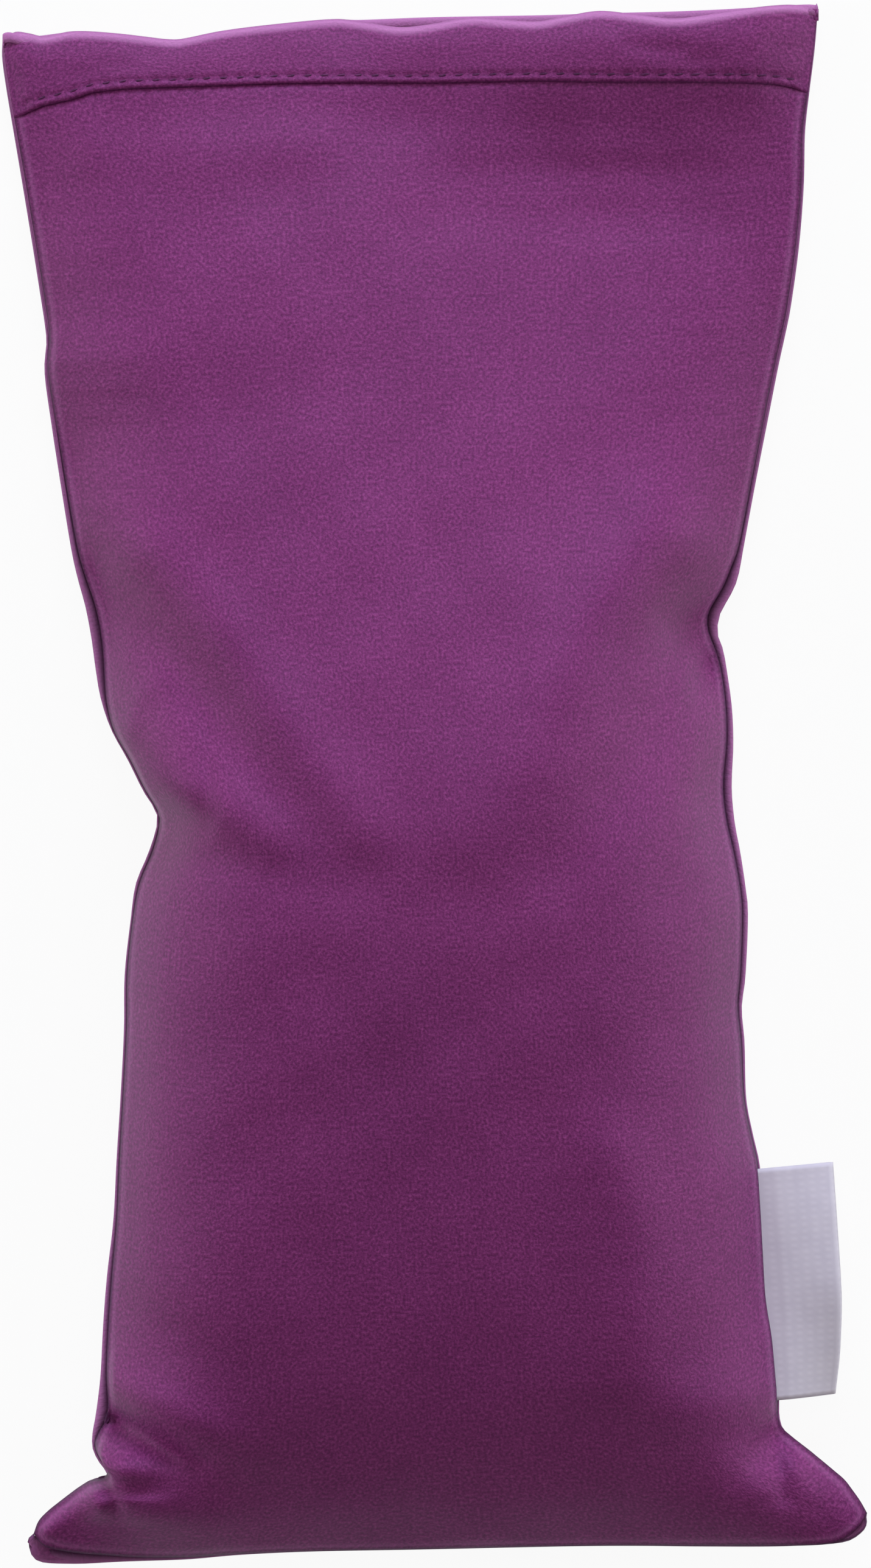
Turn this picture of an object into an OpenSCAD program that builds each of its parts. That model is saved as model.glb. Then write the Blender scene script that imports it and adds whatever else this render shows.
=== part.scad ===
// Eye pillow lying on its back: a cloth cover with a hemmed open mouth, a seed-filled inner pillow that
// slides out of the mouth, and a small folded label in the right side seam.
// Millimetres. +Z is up from the table, +Y runs from the bottom seam to the mouth, +X is to the right.
// The origin is on the table, under the middle of the pillow.

/* [Cover outline] */
// Length of the cover along its middle, from the bottom seam to the mouth
cover_l = 227.5; // [215:0.5:240]
// Width between the side seams at the mouth
mouth_w = 120; // [112:1:126]
// Width across the upper lump of the filling
upper_w = 110; // [104:1:116]
// Width at the shoulder, between the upper lump and the waist
shoulder_w = 98; // [92:1:104]
// Width at the waist, where both side seams fold in
waist_w = 83; // [78:1:88]
// Width across the lower lump of the filling
lump_w = 93.5; // [89:0.5:97]
// Width just above the two pinched bottom corners
neck_w = 102; // [98:1:106]
// Width across the tips of the two bottom corners
corner_w = 124; // [116:1:130]
// Width of the straight part of the bottom seam
bottom_w = 117; // [108:1:121]
// Length of the left bottom corner, from the seam to its notch
left_corner_l = 13.5; // [11:0.5:16]
// Length of the right bottom corner, from the seam to its notch
right_corner_l = 18.5; // [16:0.5:22]

/* [Places along the pillow] */
// Distance of the upper lump's widest place below the mouth
upper_down = 48; // [40:1:54]
// Distance of the shoulder below the mouth
shoulder_down = 84; // [76:1:88]
// Distance of the right seam's fold below the mouth
right_fold_down = 92; // [90:1:97]
// Distance of the swell below the right fold and above the left one, from the mouth
over_fold_down = 102; // [99:1:104]
// Distance of the waist's lowest place below the mouth
waist_down = 106; // [100:1:114]
// Distance of the left seam's fold below the mouth
left_fold_down = 119; // [112:1:126]
// Distance of the lower lump's upper end below the mouth
under_fold_down = 132; // [128:1:142]
// Distance of the lower lump's highest place above the bottom seam
lump_up = 62; // [50:1:70]
// Distance from the left corner's notch up to the full width
left_neck_l = 6; // [4:0.5:9]
// Distance from the right corner's notch up to the full width
right_neck_l = 5; // [3:0.5:8]
// Distance of the hollow between hem and upper lump below the mouth
hollow_down = 28; // [24:1:34]
// Length over which the back rises to the bottom seam
back_rise_l = 20; // [16:1:26]
// Length over which the back rises to the hem
hem_rise_l = 12; // [8:1:16]

/* [Heights] */
// Height of the upper lump above the table
upper_h = 34; // [30:0.5:37]
// Height of the waist above the table
waist_h = 40; // [37:0.5:44]
// Height of the lower lump above the table
lump_h = 38; // [33:0.5:42]
// Height of the seam at the bottom, from where the side seams fall evenly to the mouth
bottom_seam_z = 10; // [8:0.25:12]
// Height of the side seams at the mouth
mouth_seam_z = 2.2; // [2:0.1:3]
// Lift of the front lip above the side seams at the mouth
mouth_gap = 1.2; // [0.8:0.1:2]
// Extra lift of the front at the hem's lower edge
hem_swell = 2; // [1:0.25:4]
// Fall of the upper lump from its crest to its widest place
upper_fall = 8; // [5:0.5:10]
// Half the width of the flat strip that rests on the table
flat_hw = 20; // [14:1:26]

/* [Cloth and hem] */
// Thickness of the cover cloth
cloth_t = 0.6; // [0.4:0.05:0.8]
// Height of the turned-over hem at the mouth
hem_h = 10.5; // [8:0.5:14]
// Thickness that the turned-over hem adds
hem_t = 0.6; // [0.4:0.05:0.8]
// Gap between the hem and the panel under it
hem_gap = 0.05; // [0.02:0.01:0.1]
// Diameter of the sewing thread
thread_d = 0.5; // [0.3:0.05:0.55]
// Length of one stitch
stitch_l = 2; // [1.5:0.1:2.2]
// Distance from one stitch to the next
stitch_pitch = 2.5; // [2.3:0.1:4]
// Distance of the hem stitches above the hem's lower edge
hem_stitch_up = 1.2; // [0.8:0.1:2]
// Distance of the seam stitches inside the seam's edge
seam_in = 1.2; // [0.8:0.1:1.6]

/* [Label] */
// Length of the label along the seam
label_l = 34.5; // [26:0.5:38]
// Distance that the label stands out from the seam
label_w = 10.4; // [8:0.2:14]
// Thickness of the label's ribbon
label_t = 0.3; // [0.2:0.05:0.4]
// Space between the two leaves of the folded ribbon
label_leaf_gap = 0.2; // [0.1:0.05:0.4]
// Distance of the label's middle below the lower lump's highest place
label_down = 21.25; // [14.25:0.5:24.25]
// Gap between the label's sewn edge and the seam
label_gap = 0.3; // [0.2:0.05:0.5]

/* [Inner pillow] */
// Greatest width of the inner pouch
pouch_w = 90; // [84:1:94]
// Gap from the pouch's side edges to the cover's side seams
pouch_side_gap = 3; // [2.5:0.25:4.5]
// Gap from the pouch's bottom end to the cover's bottom seam
pouch_bottom_gap = 7; // [6:0.5:10]
// Gap from the pouch's top end to the cover's mouth
pouch_top_gap = 20; // [17:0.5:26]
// Thickness of the pouch cloth
pouch_t = 0.5; // [0.3:0.05:0.6]
// Gap between the pouch and the front of the cover
pouch_gap = 0.4; // [0.3:0.05:0.6]
// Gap by which the pouch clears the back lip as it slides out
slide_gap = 0.3; // [0.25:0.05:0.5]
// Gap between the seeds and the pouch
fill_gap = 0.3; // [0.25:0.05:0.5]
// Distance of the seeds' edge inside the pouch's edge
fill_in = 3; // [2.5:0.25:5]
// Rounding of the seeds' outline at the pouch's corners
fill_corner = 12; // [8:1:18]
// Half the thickness of the seeds at their edge
fill_edge = 0.2; // [0.1:0.05:0.3]

/* [Hidden] */

// Colours of the cloth, the thread, the label, the pouch and the seeds
purple = "#6F3969";
thread_purple = "#4A1F45";
ribbon_grey = "#B8B1C0";
cotton = "#E9E2D4";
seed_brown = "#7A4E2B";

// Places along the cover's middle line, from the bottom seam (low) to the mouth (high)
bottom_v = -cover_l / 2;
mouth_v = cover_l / 2;
hem_v = mouth_v - hem_h;
upper_v = mouth_v - upper_down;
shoulder_v = mouth_v - shoulder_down;
right_fold_v = mouth_v - right_fold_down;
over_fold_v = mouth_v - over_fold_down;
left_fold_v = mouth_v - left_fold_down;
waist_v = mouth_v - waist_down;
under_fold_v = mouth_v - under_fold_down;
lump_v = bottom_v + lump_up;
left_notch_v = bottom_v + left_corner_l;
right_notch_v = bottom_v + right_corner_l;
left_neck_v = left_notch_v + left_neck_l;
right_neck_v = right_notch_v + right_neck_l;
left_tip_v = bottom_v + left_corner_l * 2 / 7;
right_tip_v = bottom_v + right_corner_l / 5;

// How far the middle of the outline leans to the right of the origin at those places
mouth_lean = -4.2;
upper_lean = -3;
shoulder_lean = -4.3;
waist_lean = 0.2;
lump_lean = -0.25;
neck_lean = 0.6;
corner_lean = 1.8;
bottom_lean = 0.8;

// Slope of the mouth and of the bottom seam across the pillow
mouth_slope = 0.038;
bottom_slope = 0.023;

// Small steps of the outline: the notch above a corner, the bulge beside the waist, the label's hollow
notch_depth = 2;
fold_bulge = 1.8;
label_bulge = 3.4;

// Powers of the crown across the pillow, of the pouch's closing edge and of the seeds' rounded corners
crown_power = 2.8;
edge_power = 7;
corner_power = 6;

// Height of the pouch's seam, as a share of the room inside the cover
pouch_seam_share = 0.5;

// Depth by which the back is cut off flat, and the size of the cutter
rest_cut = 0.2;
cutter = 2 * cover_l;

// Rows and columns of the cloth surfaces
corner_rows = 9;
body_rows = 34;
hem_rows = 3;
cover_cols = 22;
pouch_rows = 30;
pouch_cols = 16;
corner_zone = right_corner_l + right_neck_l;

// Smooth curve through knots [place, value] that never overshoots a knot
function chord(k, i) = (k[i + 1][1] - k[i][1]) / (k[i + 1][0] - k[i][0]);
function slope_at(k, i) =
    i == 0 ? chord(k, 0) :
    i == len(k) - 1 ? chord(k, i - 1) :
    let (a = chord(k, i - 1), b = chord(k, i)) a * b <= 0 ? 0 : 2 * a * b / (a + b);
function span(k, t, i = 0) = i >= len(k) - 2 || t < k[i + 1][0] ? i : span(k, t, i + 1);
function curve(k, t) =
    let (i = span(k, t), h = k[i + 1][0] - k[i][0], u = (t - k[i][0]) / h)
    (1 + 2 * u) * (1 - u) * (1 - u) * k[i][1]
    + u * (1 - u) * (1 - u) * h * slope_at(k, i)
    + u * u * (3 - 2 * u) * k[i + 1][1]
    + u * u * (u - 1) * h * slope_at(k, i + 1);
function mix(a, b, t) = a + (b - a) * t;

// Outline of the left side seam
left_knots = [
    [bottom_v, bottom_lean - bottom_w / 2],
    [left_tip_v, corner_lean - corner_w / 2],
    [mix(left_tip_v, left_notch_v, 0.5), mix(corner_lean - corner_w / 2, neck_lean - neck_w / 2, 0.4)],
    [left_notch_v, neck_lean - neck_w / 2 + notch_depth],
    [left_neck_v, neck_lean - neck_w / 2],
    [lump_v, lump_lean - lump_w / 2],
    [under_fold_v, lump_lean - lump_w / 2 + fold_bulge],
    [left_fold_v, waist_lean - waist_w / 2],
    [over_fold_v, mix(waist_lean - waist_w / 2, shoulder_lean - shoulder_w / 2, 0.62)],
    [shoulder_v, shoulder_lean - shoulder_w / 2],
    [upper_v, upper_lean - upper_w / 2],
    [mouth_v, mouth_lean - mouth_w / 2]];

// Outline of the right side seam
right_knots = [
    [bottom_v, bottom_lean + bottom_w / 2],
    [right_tip_v, corner_lean + corner_w / 2],
    [mix(right_tip_v, right_notch_v, 0.35), mix(corner_lean + corner_w / 2, neck_lean + neck_w / 2, 0.2)],
    [mix(right_tip_v, right_notch_v, 0.65), mix(corner_lean + corner_w / 2, neck_lean + neck_w / 2, 0.6)],
    [right_notch_v, neck_lean + neck_w / 2 - notch_depth / 2],
    [right_neck_v, neck_lean + neck_w / 2],
    [mix(right_neck_v, lump_v, 0.5), lump_lean + lump_w / 2 + label_bulge],
    [lump_v, lump_lean + lump_w / 2],
    [under_fold_v, lump_lean + lump_w / 2],
    [over_fold_v, waist_lean + waist_w / 2 + fold_bulge],
    [right_fold_v, waist_lean + waist_w / 2],
    [shoulder_v, shoulder_lean + shoulder_w / 2],
    [upper_v, upper_lean + upper_w / 2],
    [mouth_v, mouth_lean + mouth_w / 2]];

// Height of the seam along the pillow
function seam_height(v) = mix(bottom_seam_z, mouth_seam_z, (v - bottom_v) / cover_l);

// Height of the front's crown above the seam along the pillow
crest_v = mix(waist_v, upper_v, 0.6);
function crown_under(v, height) = height - seam_height(v) - cloth_t;
crown_knots = [
    [bottom_v, 0],
    [bottom_v + corner_zone / 6, lump_h / 7],
    [bottom_v + corner_zone / 2, lump_h * 3 / 7],
    [bottom_v + corner_zone, lump_h * 2 / 3],
    [lump_v, crown_under(lump_v, lump_h)],
    [waist_v, crown_under(waist_v, waist_h)],
    [crest_v, crown_under(crest_v, upper_h)],
    [upper_v, crown_under(upper_v, upper_h - upper_fall)],
    [mouth_v - hollow_down, upper_h / 4],
    [hem_v, mouth_gap + hem_swell],
    [mouth_v, mouth_gap]];

// Height of the back's lower face along the pillow's middle
hem_lift = hem_t + hem_gap;
base_knots = [
    [bottom_v, bottom_seam_z - cloth_t],
    [bottom_v + back_rise_l / 4, (bottom_seam_z - cloth_t) / 2],
    [bottom_v + back_rise_l * 3 / 5, (bottom_seam_z - cloth_t) / 9],
    [bottom_v + back_rise_l, 0],
    [hem_v - hem_rise_l, 0],
    [hem_v, hem_lift],
    [mouth_v, hem_lift]];

// Everything that one row across the pillow needs, worked out once for its place v
function bulge_left(v) =
    let (x = curve(left_knots, v)) v < left_neck_v ? max(x, neck_lean - neck_w / 2) : x;
function bulge_right(v) =
    let (x = curve(right_knots, v)) v < right_neck_v ? min(x, neck_lean + neck_w / 2) : x;
function row_at(v) = [
    v,
    curve(left_knots, v),
    curve(right_knots, v),
    (bulge_left(v) + bulge_right(v)) / 2,
    (bulge_right(v) - bulge_left(v)) / 2,
    curve(crown_knots, v),
    seam_height(v),
    curve(base_knots, v),
    mix(bottom_slope, mouth_slope, (v - bottom_v) / cover_l)];
function row_left(r) = r[1];
function row_right(r) = r[2];
function row_mid(r) = r[3];
function row_half(r) = r[4];
function row_crown(r) = r[5];
function row_seam(r) = r[6];
function row_base(r) = r[7];
function place(r, x, z) = [x, r[0] + r[8] * x, z];

// Faces of the cover cloth at x on a row: inner face of the front, and both faces of the back
function across(r, x) = abs(x - row_mid(r));
function front_in(r, x) =
    row_seam(r) + row_crown(r) * (1 - pow(min(1, across(r, x) / row_half(r)), crown_power));
function front_out(r, x) = front_in(r, x) + cloth_t;
function back_low(r, x) =
    let (u = max(0, min(1, (across(r, x) - flat_hw) / (row_half(r) - flat_hw))))
    mix(row_base(r), row_seam(r) - cloth_t, u * u);
function back_top(r, x) = back_low(r, x) + cloth_t;
function back_cut(r, x) =
    let (z = back_low(r, x)) z < rest_cut ? 2 * z - rest_cut : z;

// Columns across the cover, closer together near the seams
function column(j, n) = sin(90 * (2 * j / n - 1));
function cover_x(r, j) = mix(row_left(r), row_right(r), (1 + column(j, cover_cols)) / 2);

// Rows of the cover: close together at the corners, and at the hem
cover_places = concat(
    [for (i = [0 : corner_rows - 1]) bottom_v + corner_zone * i / corner_rows],
    [for (i = [0 : body_rows - 1]) mix(bottom_v + corner_zone, hem_v, i / body_rows)],
    [for (i = [0 : hem_rows]) mix(hem_v, mouth_v, i / hem_rows)]);
cover_grid = [for (v = cover_places) row_at(v)];
hem_grid = [for (i = [0 : hem_rows]) row_at(mix(hem_v, mouth_v, i / hem_rows))];

// Inner pouch: its ends, its half width and its seam's height
pouch_low_v = bottom_v + pouch_bottom_gap;
pouch_high_v = mouth_v - pouch_top_gap;
pouch_mid_v = (pouch_low_v + pouch_high_v) / 2;
pouch_half_l = (pouch_high_v - pouch_low_v) / 2;
back_room = hem_lift + slide_gap;
function pouch_half(r) = min(row_half(r) - pouch_side_gap, pouch_w / 2);
function pouch_seam(r, x) = mix(back_top(r, x), front_in(r, x), pouch_seam_share);
function end_share(r, inset) = min(1, abs(r[0] - pouch_mid_v) / (pouch_half_l - inset));
function fill_half(r) = pouch_half(r) - fill_in - fill_corner * pow(end_share(r, fill_in), corner_power);
function closing(share) = 1 - pow(min(1, share), edge_power);
function pouch_closing(r, x) = closing(across(r, x) / pouch_half(r)) * closing(end_share(r, 0));
function fill_closing(r, x) = closing(across(r, x) / fill_half(r)) * closing(end_share(r, fill_in));

// Room of the pouch's cloth and of its seeds above and below the pouch's seam
function room_above(r, x, inside) = max(0, front_in(r, x) - pouch_gap - inside - pouch_seam(r, x));
function room_below(r, x, inside) = max(0, pouch_seam(r, x) - back_top(r, x) - back_room - inside);
function pouch_front_in(r, x) =
    pouch_seam(r, x) + room_above(r, x, pouch_t) * pouch_closing(r, x);
function pouch_back_in(r, x) =
    pouch_seam(r, x) - room_below(r, x, pouch_t) * pouch_closing(r, x);
fill_wall = pouch_t + fill_gap + fill_edge;
function fill_top(r, x) =
    pouch_seam(r, x) + fill_edge + room_above(r, x, fill_wall) * fill_closing(r, x);
function fill_low(r, x) =
    pouch_seam(r, x) - fill_edge - room_below(r, x, fill_wall) * fill_closing(r, x);
function pouch_x(r, j) = row_mid(r) + pouch_half(r) * column(j, pouch_cols);
function fill_x(r, j) = row_mid(r) + fill_half(r) * column(j, pouch_cols);
function pouch_grid(inset) = [for (i = [0 : pouch_rows])
    row_at(pouch_mid_v + (pouch_half_l - inset) * column(i, pouch_rows))];
pouch_rows_out = pouch_grid(0);
pouch_rows_in = pouch_grid(fill_in);

// Closed sheet between two grids of points, the lower one and the upper one
module sheet(lower, upper) {
    n = len(lower) - 1;
    m = len(lower[0]) - 1;
    w = m + 1;
    top = (n + 1) * w;
    points = concat([for (row = lower) each row], [for (row = upper) each row]);
    faces = concat(
        [for (i = [0 : n - 1], j = [0 : m - 1])
            let (a = i * w + j, b = a + 1, c = b + w, d = a + w)
            each [[a, b, c], [a, c, d], [top + a, top + d, top + c], [top + a, top + c, top + b]]],
        [for (j = [0 : m - 1]) let (a = j, b = j + 1)
            each [[a, top + a, top + b], [a, top + b, b]]],
        [for (j = [0 : m - 1]) let (a = n * w + j, b = a + 1)
            each [[a, top + b, top + a], [a, b, top + b]]],
        [for (i = [0 : n - 1]) let (a = i * w, d = a + w)
            each [[d, top + d, top + a], [d, top + a, a]]],
        [for (i = [0 : n - 1]) let (a = i * w + m, d = a + w)
            each [[a, top + a, top + d], [a, top + d, d]]]);
    polyhedron(points = points, faces = faces);
}

// Row of separate stitches laid along a path of points
function lengths(path, i = 0, so_far = 0) =
    i >= len(path) - 1 ? [so_far] :
    concat([so_far], lengths(path, i + 1, so_far + norm(path[i + 1] - path[i])));
function reached(sums, s, i = 0) = i >= len(sums) - 2 || s < sums[i + 1] ? i : reached(sums, s, i + 1);
module stitch_row(path) {
    sums = lengths(path);
    total = sums[len(sums) - 1];
    count = floor(total / stitch_pitch);
    for (k = [0 : count - 1]) {
        s = total * (k + 0.5) / count;
        i = reached(sums, s);
        step = path[i + 1] - path[i];
        dir = step / norm(step);
        at = path[i] + dir * (s - sums[i]);
        translate(at)
        rotate([0, acos(dir[2]), atan2(dir[1], dir[0])])
        cylinder(h = stitch_l, d = thread_d, center = true, $fn = 16);
    }
}

// Paths of the stitch rows
seam_start = 2 * stitch_pitch;
side_steps = floor(cover_l / 2);
side_rows = [for (i = [0 : side_steps])
    row_at(mix(bottom_v + seam_start, mouth_v - seam_start / 2, i / side_steps))];
function edge_share(i) = i / cover_cols;
function along(r, i) = mix(row_left(r) + seam_start, row_right(r) - seam_start, edge_share(i));
pouch_side_rows = [for (r = pouch_rows_out) if (abs(r[0] - pouch_mid_v) < pouch_half_l - seam_start) r];

module cover_front_panel() {
    color(purple)
    sheet(
        [for (r = cover_grid) [for (j = [0 : cover_cols])
            let (x = cover_x(r, j)) place(r, x, front_in(r, x))]],
        [for (r = cover_grid) [for (j = [0 : cover_cols])
            let (x = cover_x(r, j)) place(r, x, front_out(r, x))]]);
}

module cover_back_panel() {
    color(purple)
    difference() {
        sheet(
            [for (r = cover_grid) [for (j = [0 : cover_cols])
                let (x = cover_x(r, j)) place(r, x, back_cut(r, x))]],
            [for (r = cover_grid) [for (j = [0 : cover_cols])
                let (x = cover_x(r, j)) place(r, x, back_top(r, x))]]);
        translate([-cutter / 2, -cutter / 2, -cutter])
        cube([cutter, cutter, cutter]);
    }
}

module front_hem_band() {
    color(purple)
    sheet(
        [for (r = hem_grid) [for (j = [0 : cover_cols])
            let (x = cover_x(r, j)) place(r, x, front_out(r, x) + hem_gap)]],
        [for (r = hem_grid) [for (j = [0 : cover_cols])
            let (x = cover_x(r, j)) place(r, x, front_out(r, x) + hem_gap + hem_t)]]);
}

module back_hem_band() {
    color(purple)
    sheet(
        [for (r = hem_grid) [for (j = [0 : cover_cols])
            let (x = cover_x(r, j)) place(r, x, back_low(r, x) - hem_gap - hem_t)]],
        [for (r = hem_grid) [for (j = [0 : cover_cols])
            let (x = cover_x(r, j)) place(r, x, back_low(r, x) - hem_gap)]]);
}

hem_stitch_row = row_at(hem_v + hem_stitch_up);

module front_hem_stitching() {
    color(thread_purple)
    stitch_row([for (i = [0 : cover_cols])
        let (r = hem_stitch_row, x = along(r, i))
        place(r, x, front_out(r, x) + hem_gap + hem_t)]);
}

module back_hem_stitching() {
    color(thread_purple)
    stitch_row([for (i = [0 : cover_cols])
        let (r = hem_stitch_row, x = along(r, i))
        place(r, x, back_low(r, x) - hem_lift + thread_d / 2)]);
}

module left_seam_stitching() {
    color(thread_purple)
    stitch_row([for (r = side_rows) place(r, row_left(r) + seam_in, row_seam(r))]);
}

module right_seam_stitching() {
    color(thread_purple)
    stitch_row([for (r = side_rows) place(r, row_right(r) - seam_in, row_seam(r))]);
}

module bottom_seam_stitching() {
    r = row_at(bottom_v + seam_in);
    color(thread_purple)
    stitch_row([for (i = [0 : cover_cols]) let (x = along(r, i)) place(r, x, row_seam(r))]);
}

// Label: one ribbon folded in half at its outer edge, with a round sewn edge at the seam
label_v = lump_v - label_down;
label_row = row_at(label_v);
label_low_row = row_at(label_v - label_l / 2);
label_high_row = row_at(label_v + label_l / 2);
label_low = place(label_low_row, row_right(label_low_row), 0);
label_high = place(label_high_row, row_right(label_high_row), 0);
label_turn = -atan2(label_high[0] - label_low[0], label_high[1] - label_low[1]);
label_full_t = 2 * label_t + label_leaf_gap;
label_bead_r = label_full_t / 2;
label_root = place(label_row, row_right(label_row) + label_gap + label_bead_r, row_seam(label_row));

module label_section() {
    fold = label_w - 2 * label_bead_r - label_gap;
    circle(r = label_bead_r, $fn = 32);
    difference() {
        union() {
            translate([0, -label_full_t / 2])
            square([fold, label_full_t]);
            translate([fold, 0])
            circle(d = label_full_t, $fn = 32);
        }
        translate([0, -label_leaf_gap / 2])
        square([fold, label_leaf_gap]);
        translate([fold, 0])
        circle(d = label_leaf_gap, $fn = 32);
    }
}

module side_label() {
    color(ribbon_grey)
    translate(label_root)
    rotate([0, 0, label_turn])
    rotate([90, 0, 0])
    linear_extrude(height = label_l, center = true)
    label_section();
}

module pouch_front_panel() {
    color(cotton)
    sheet(
        [for (r = pouch_rows_out) [for (j = [0 : pouch_cols])
            let (x = pouch_x(r, j)) place(r, x, pouch_front_in(r, x))]],
        [for (r = pouch_rows_out) [for (j = [0 : pouch_cols])
            let (x = pouch_x(r, j)) place(r, x, pouch_front_in(r, x) + pouch_t)]]);
}

module pouch_back_panel() {
    color(cotton)
    sheet(
        [for (r = pouch_rows_out) [for (j = [0 : pouch_cols])
            let (x = pouch_x(r, j)) place(r, x, pouch_back_in(r, x) - pouch_t)]],
        [for (r = pouch_rows_out) [for (j = [0 : pouch_cols])
            let (x = pouch_x(r, j)) place(r, x, pouch_back_in(r, x))]]);
}

function pouch_edge(r, side) = row_mid(r) + side * (pouch_half(r) - seam_in);
function pouch_end_x(r, i) =
    mix(pouch_edge(r, -1) + seam_start, pouch_edge(r, 1) - seam_start, i / pouch_cols);
function pouch_stitch(r, x) = place(r, x, pouch_seam(r, x));

module pouch_seam_stitching() {
    low = row_at(pouch_low_v + seam_in);
    color(cotton) {
        stitch_row([for (r = pouch_side_rows) pouch_stitch(r, pouch_edge(r, -1))]);
        stitch_row([for (r = pouch_side_rows) pouch_stitch(r, pouch_edge(r, 1))]);
        stitch_row([for (i = [0 : pouch_cols]) pouch_stitch(low, pouch_end_x(low, i))]);
    }
}

module pouch_closing_stitching() {
    high = row_at(pouch_high_v - seam_in);
    color(cotton)
    stitch_row([for (i = [0 : pouch_cols]) pouch_stitch(high, pouch_end_x(high, i))]);
}

module seed_fill() {
    color(seed_brown)
    sheet(
        [for (r = pouch_rows_in) [for (j = [0 : pouch_cols])
            let (x = fill_x(r, j)) place(r, x, fill_low(r, x))]],
        [for (r = pouch_rows_in) [for (j = [0 : pouch_cols])
            let (x = fill_x(r, j)) place(r, x, fill_top(r, x))]]);
}

cover_front_panel();
cover_back_panel();
front_hem_band();
back_hem_band();
front_hem_stitching();
back_hem_stitching();
left_seam_stitching();
right_seam_stitching();
bottom_seam_stitching();
side_label();
pouch_front_panel();
pouch_back_panel();
pouch_seam_stitching();
pouch_closing_stitching();
seed_fill();
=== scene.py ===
# %% [markdown]
# # Eye pillow
# A seed-filled eye pillow lies on its back: a plum cloth cover with a hemmed open mouth, a small folded
# label in the right side seam, and inside it a cotton pouch of seeds that slides out of the mouth.
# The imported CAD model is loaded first. It fixes where everything is, and each soft piece made here
# takes the place of one of its plain solids.

# %% Load the frame
import math

import bmesh
import bpy
import numpy as np
from mathutils import Matrix, Vector
from mathutils.bvhtree import BVHTree


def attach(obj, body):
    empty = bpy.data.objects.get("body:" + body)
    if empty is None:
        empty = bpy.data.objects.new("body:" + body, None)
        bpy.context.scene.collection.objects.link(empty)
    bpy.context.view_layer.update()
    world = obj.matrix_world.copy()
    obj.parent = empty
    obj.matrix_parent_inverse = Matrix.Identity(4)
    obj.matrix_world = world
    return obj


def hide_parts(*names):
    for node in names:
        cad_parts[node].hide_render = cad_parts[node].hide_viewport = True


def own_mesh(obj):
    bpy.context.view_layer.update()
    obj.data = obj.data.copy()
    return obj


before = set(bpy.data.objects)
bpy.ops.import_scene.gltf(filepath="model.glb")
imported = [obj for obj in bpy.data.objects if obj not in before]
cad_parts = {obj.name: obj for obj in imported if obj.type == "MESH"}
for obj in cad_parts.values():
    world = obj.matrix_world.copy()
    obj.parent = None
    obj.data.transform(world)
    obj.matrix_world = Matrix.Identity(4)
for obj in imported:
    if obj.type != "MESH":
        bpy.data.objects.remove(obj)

MM = 0.001
bpy.context.view_layer.update()

# %% [markdown]
# ## The outline of the cover
# The cover is two panels of cloth sewn together on three sides. Its outline could be drawn as Bezier
# curves, but a short table of points in millimetres is easier to compare with the real thing. Each seam
# point has a third number: how far the cloth of the back swells out beyond the seam at that place, which is
# the thin strip one sees beside the seam from above.

# %% Seam lines
LEFT_SEAM = [
    (-59.3, -110.6, 0.6), (-59.0, -109.5, 0.7), (-57.8, -107.8, 0.9), (-54.6, -105.2, 1.0),
    (-51.8, -103.2, 0.9), (-49.9, -102.4, 0.5), (-48.1, -102.0, 0.3), (-48.4, -100.9, 0.2),
    (-49.6, -99.4, 0.2), (-50.3, -97.6, 0.4), (-49.6, -95.5, 1.3), (-48.5, -93.4, 2.2),
    (-48.4, -91.0, 1.9), (-48.6, -86.8, 1.1), (-48.3, -79.5, 1.0), (-47.8, -72.3, 0.9),
    (-47.1, -64.2, 0.6), (-46.7, -55.2, 0.5), (-46.2, -46.2, 0.4), (-45.7, -36.2, 0.4),
    (-45.6, -28.1, 0.4), (-44.8, -20.1, 0.3), (-43.8, -14.7, 0.6), (-42.0, -10.3, 0.6),
    (-41.0, -6.8, 0.4), (-40.9, -4.7, 0.2), (-41.7, -2.9, 0.2), (-43.0, -0.8, 0.3),
    (-45.2, 3.6, 0.3), (-47.7, 8.1, 0.3), (-48.8, 12.7, 0.9), (-49.1, 17.1, 1.5),
    (-49.5, 21.7, 1.8), (-50.4, 26.3, 1.8), (-51.9, 30.8, 1.5), (-53.1, 35.1, 1.2),
    (-54.7, 44.1, 1.1), (-56.2, 53.1, 1.0), (-57.5, 61.1, 0.7), (-57.3, 65.6, 0.6),
    (-57.5, 68.8, 0.8), (-58.0, 72.0, 0.8), (-59.3, 80.1, 0.8), (-60.8, 89.1, 0.8),
    (-62.4, 98.1, 0.7), (-63.3, 103.5, 0.7), (-63.9, 107.5, 0.6), (-64.0, 109.9, 0.4)]
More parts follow.
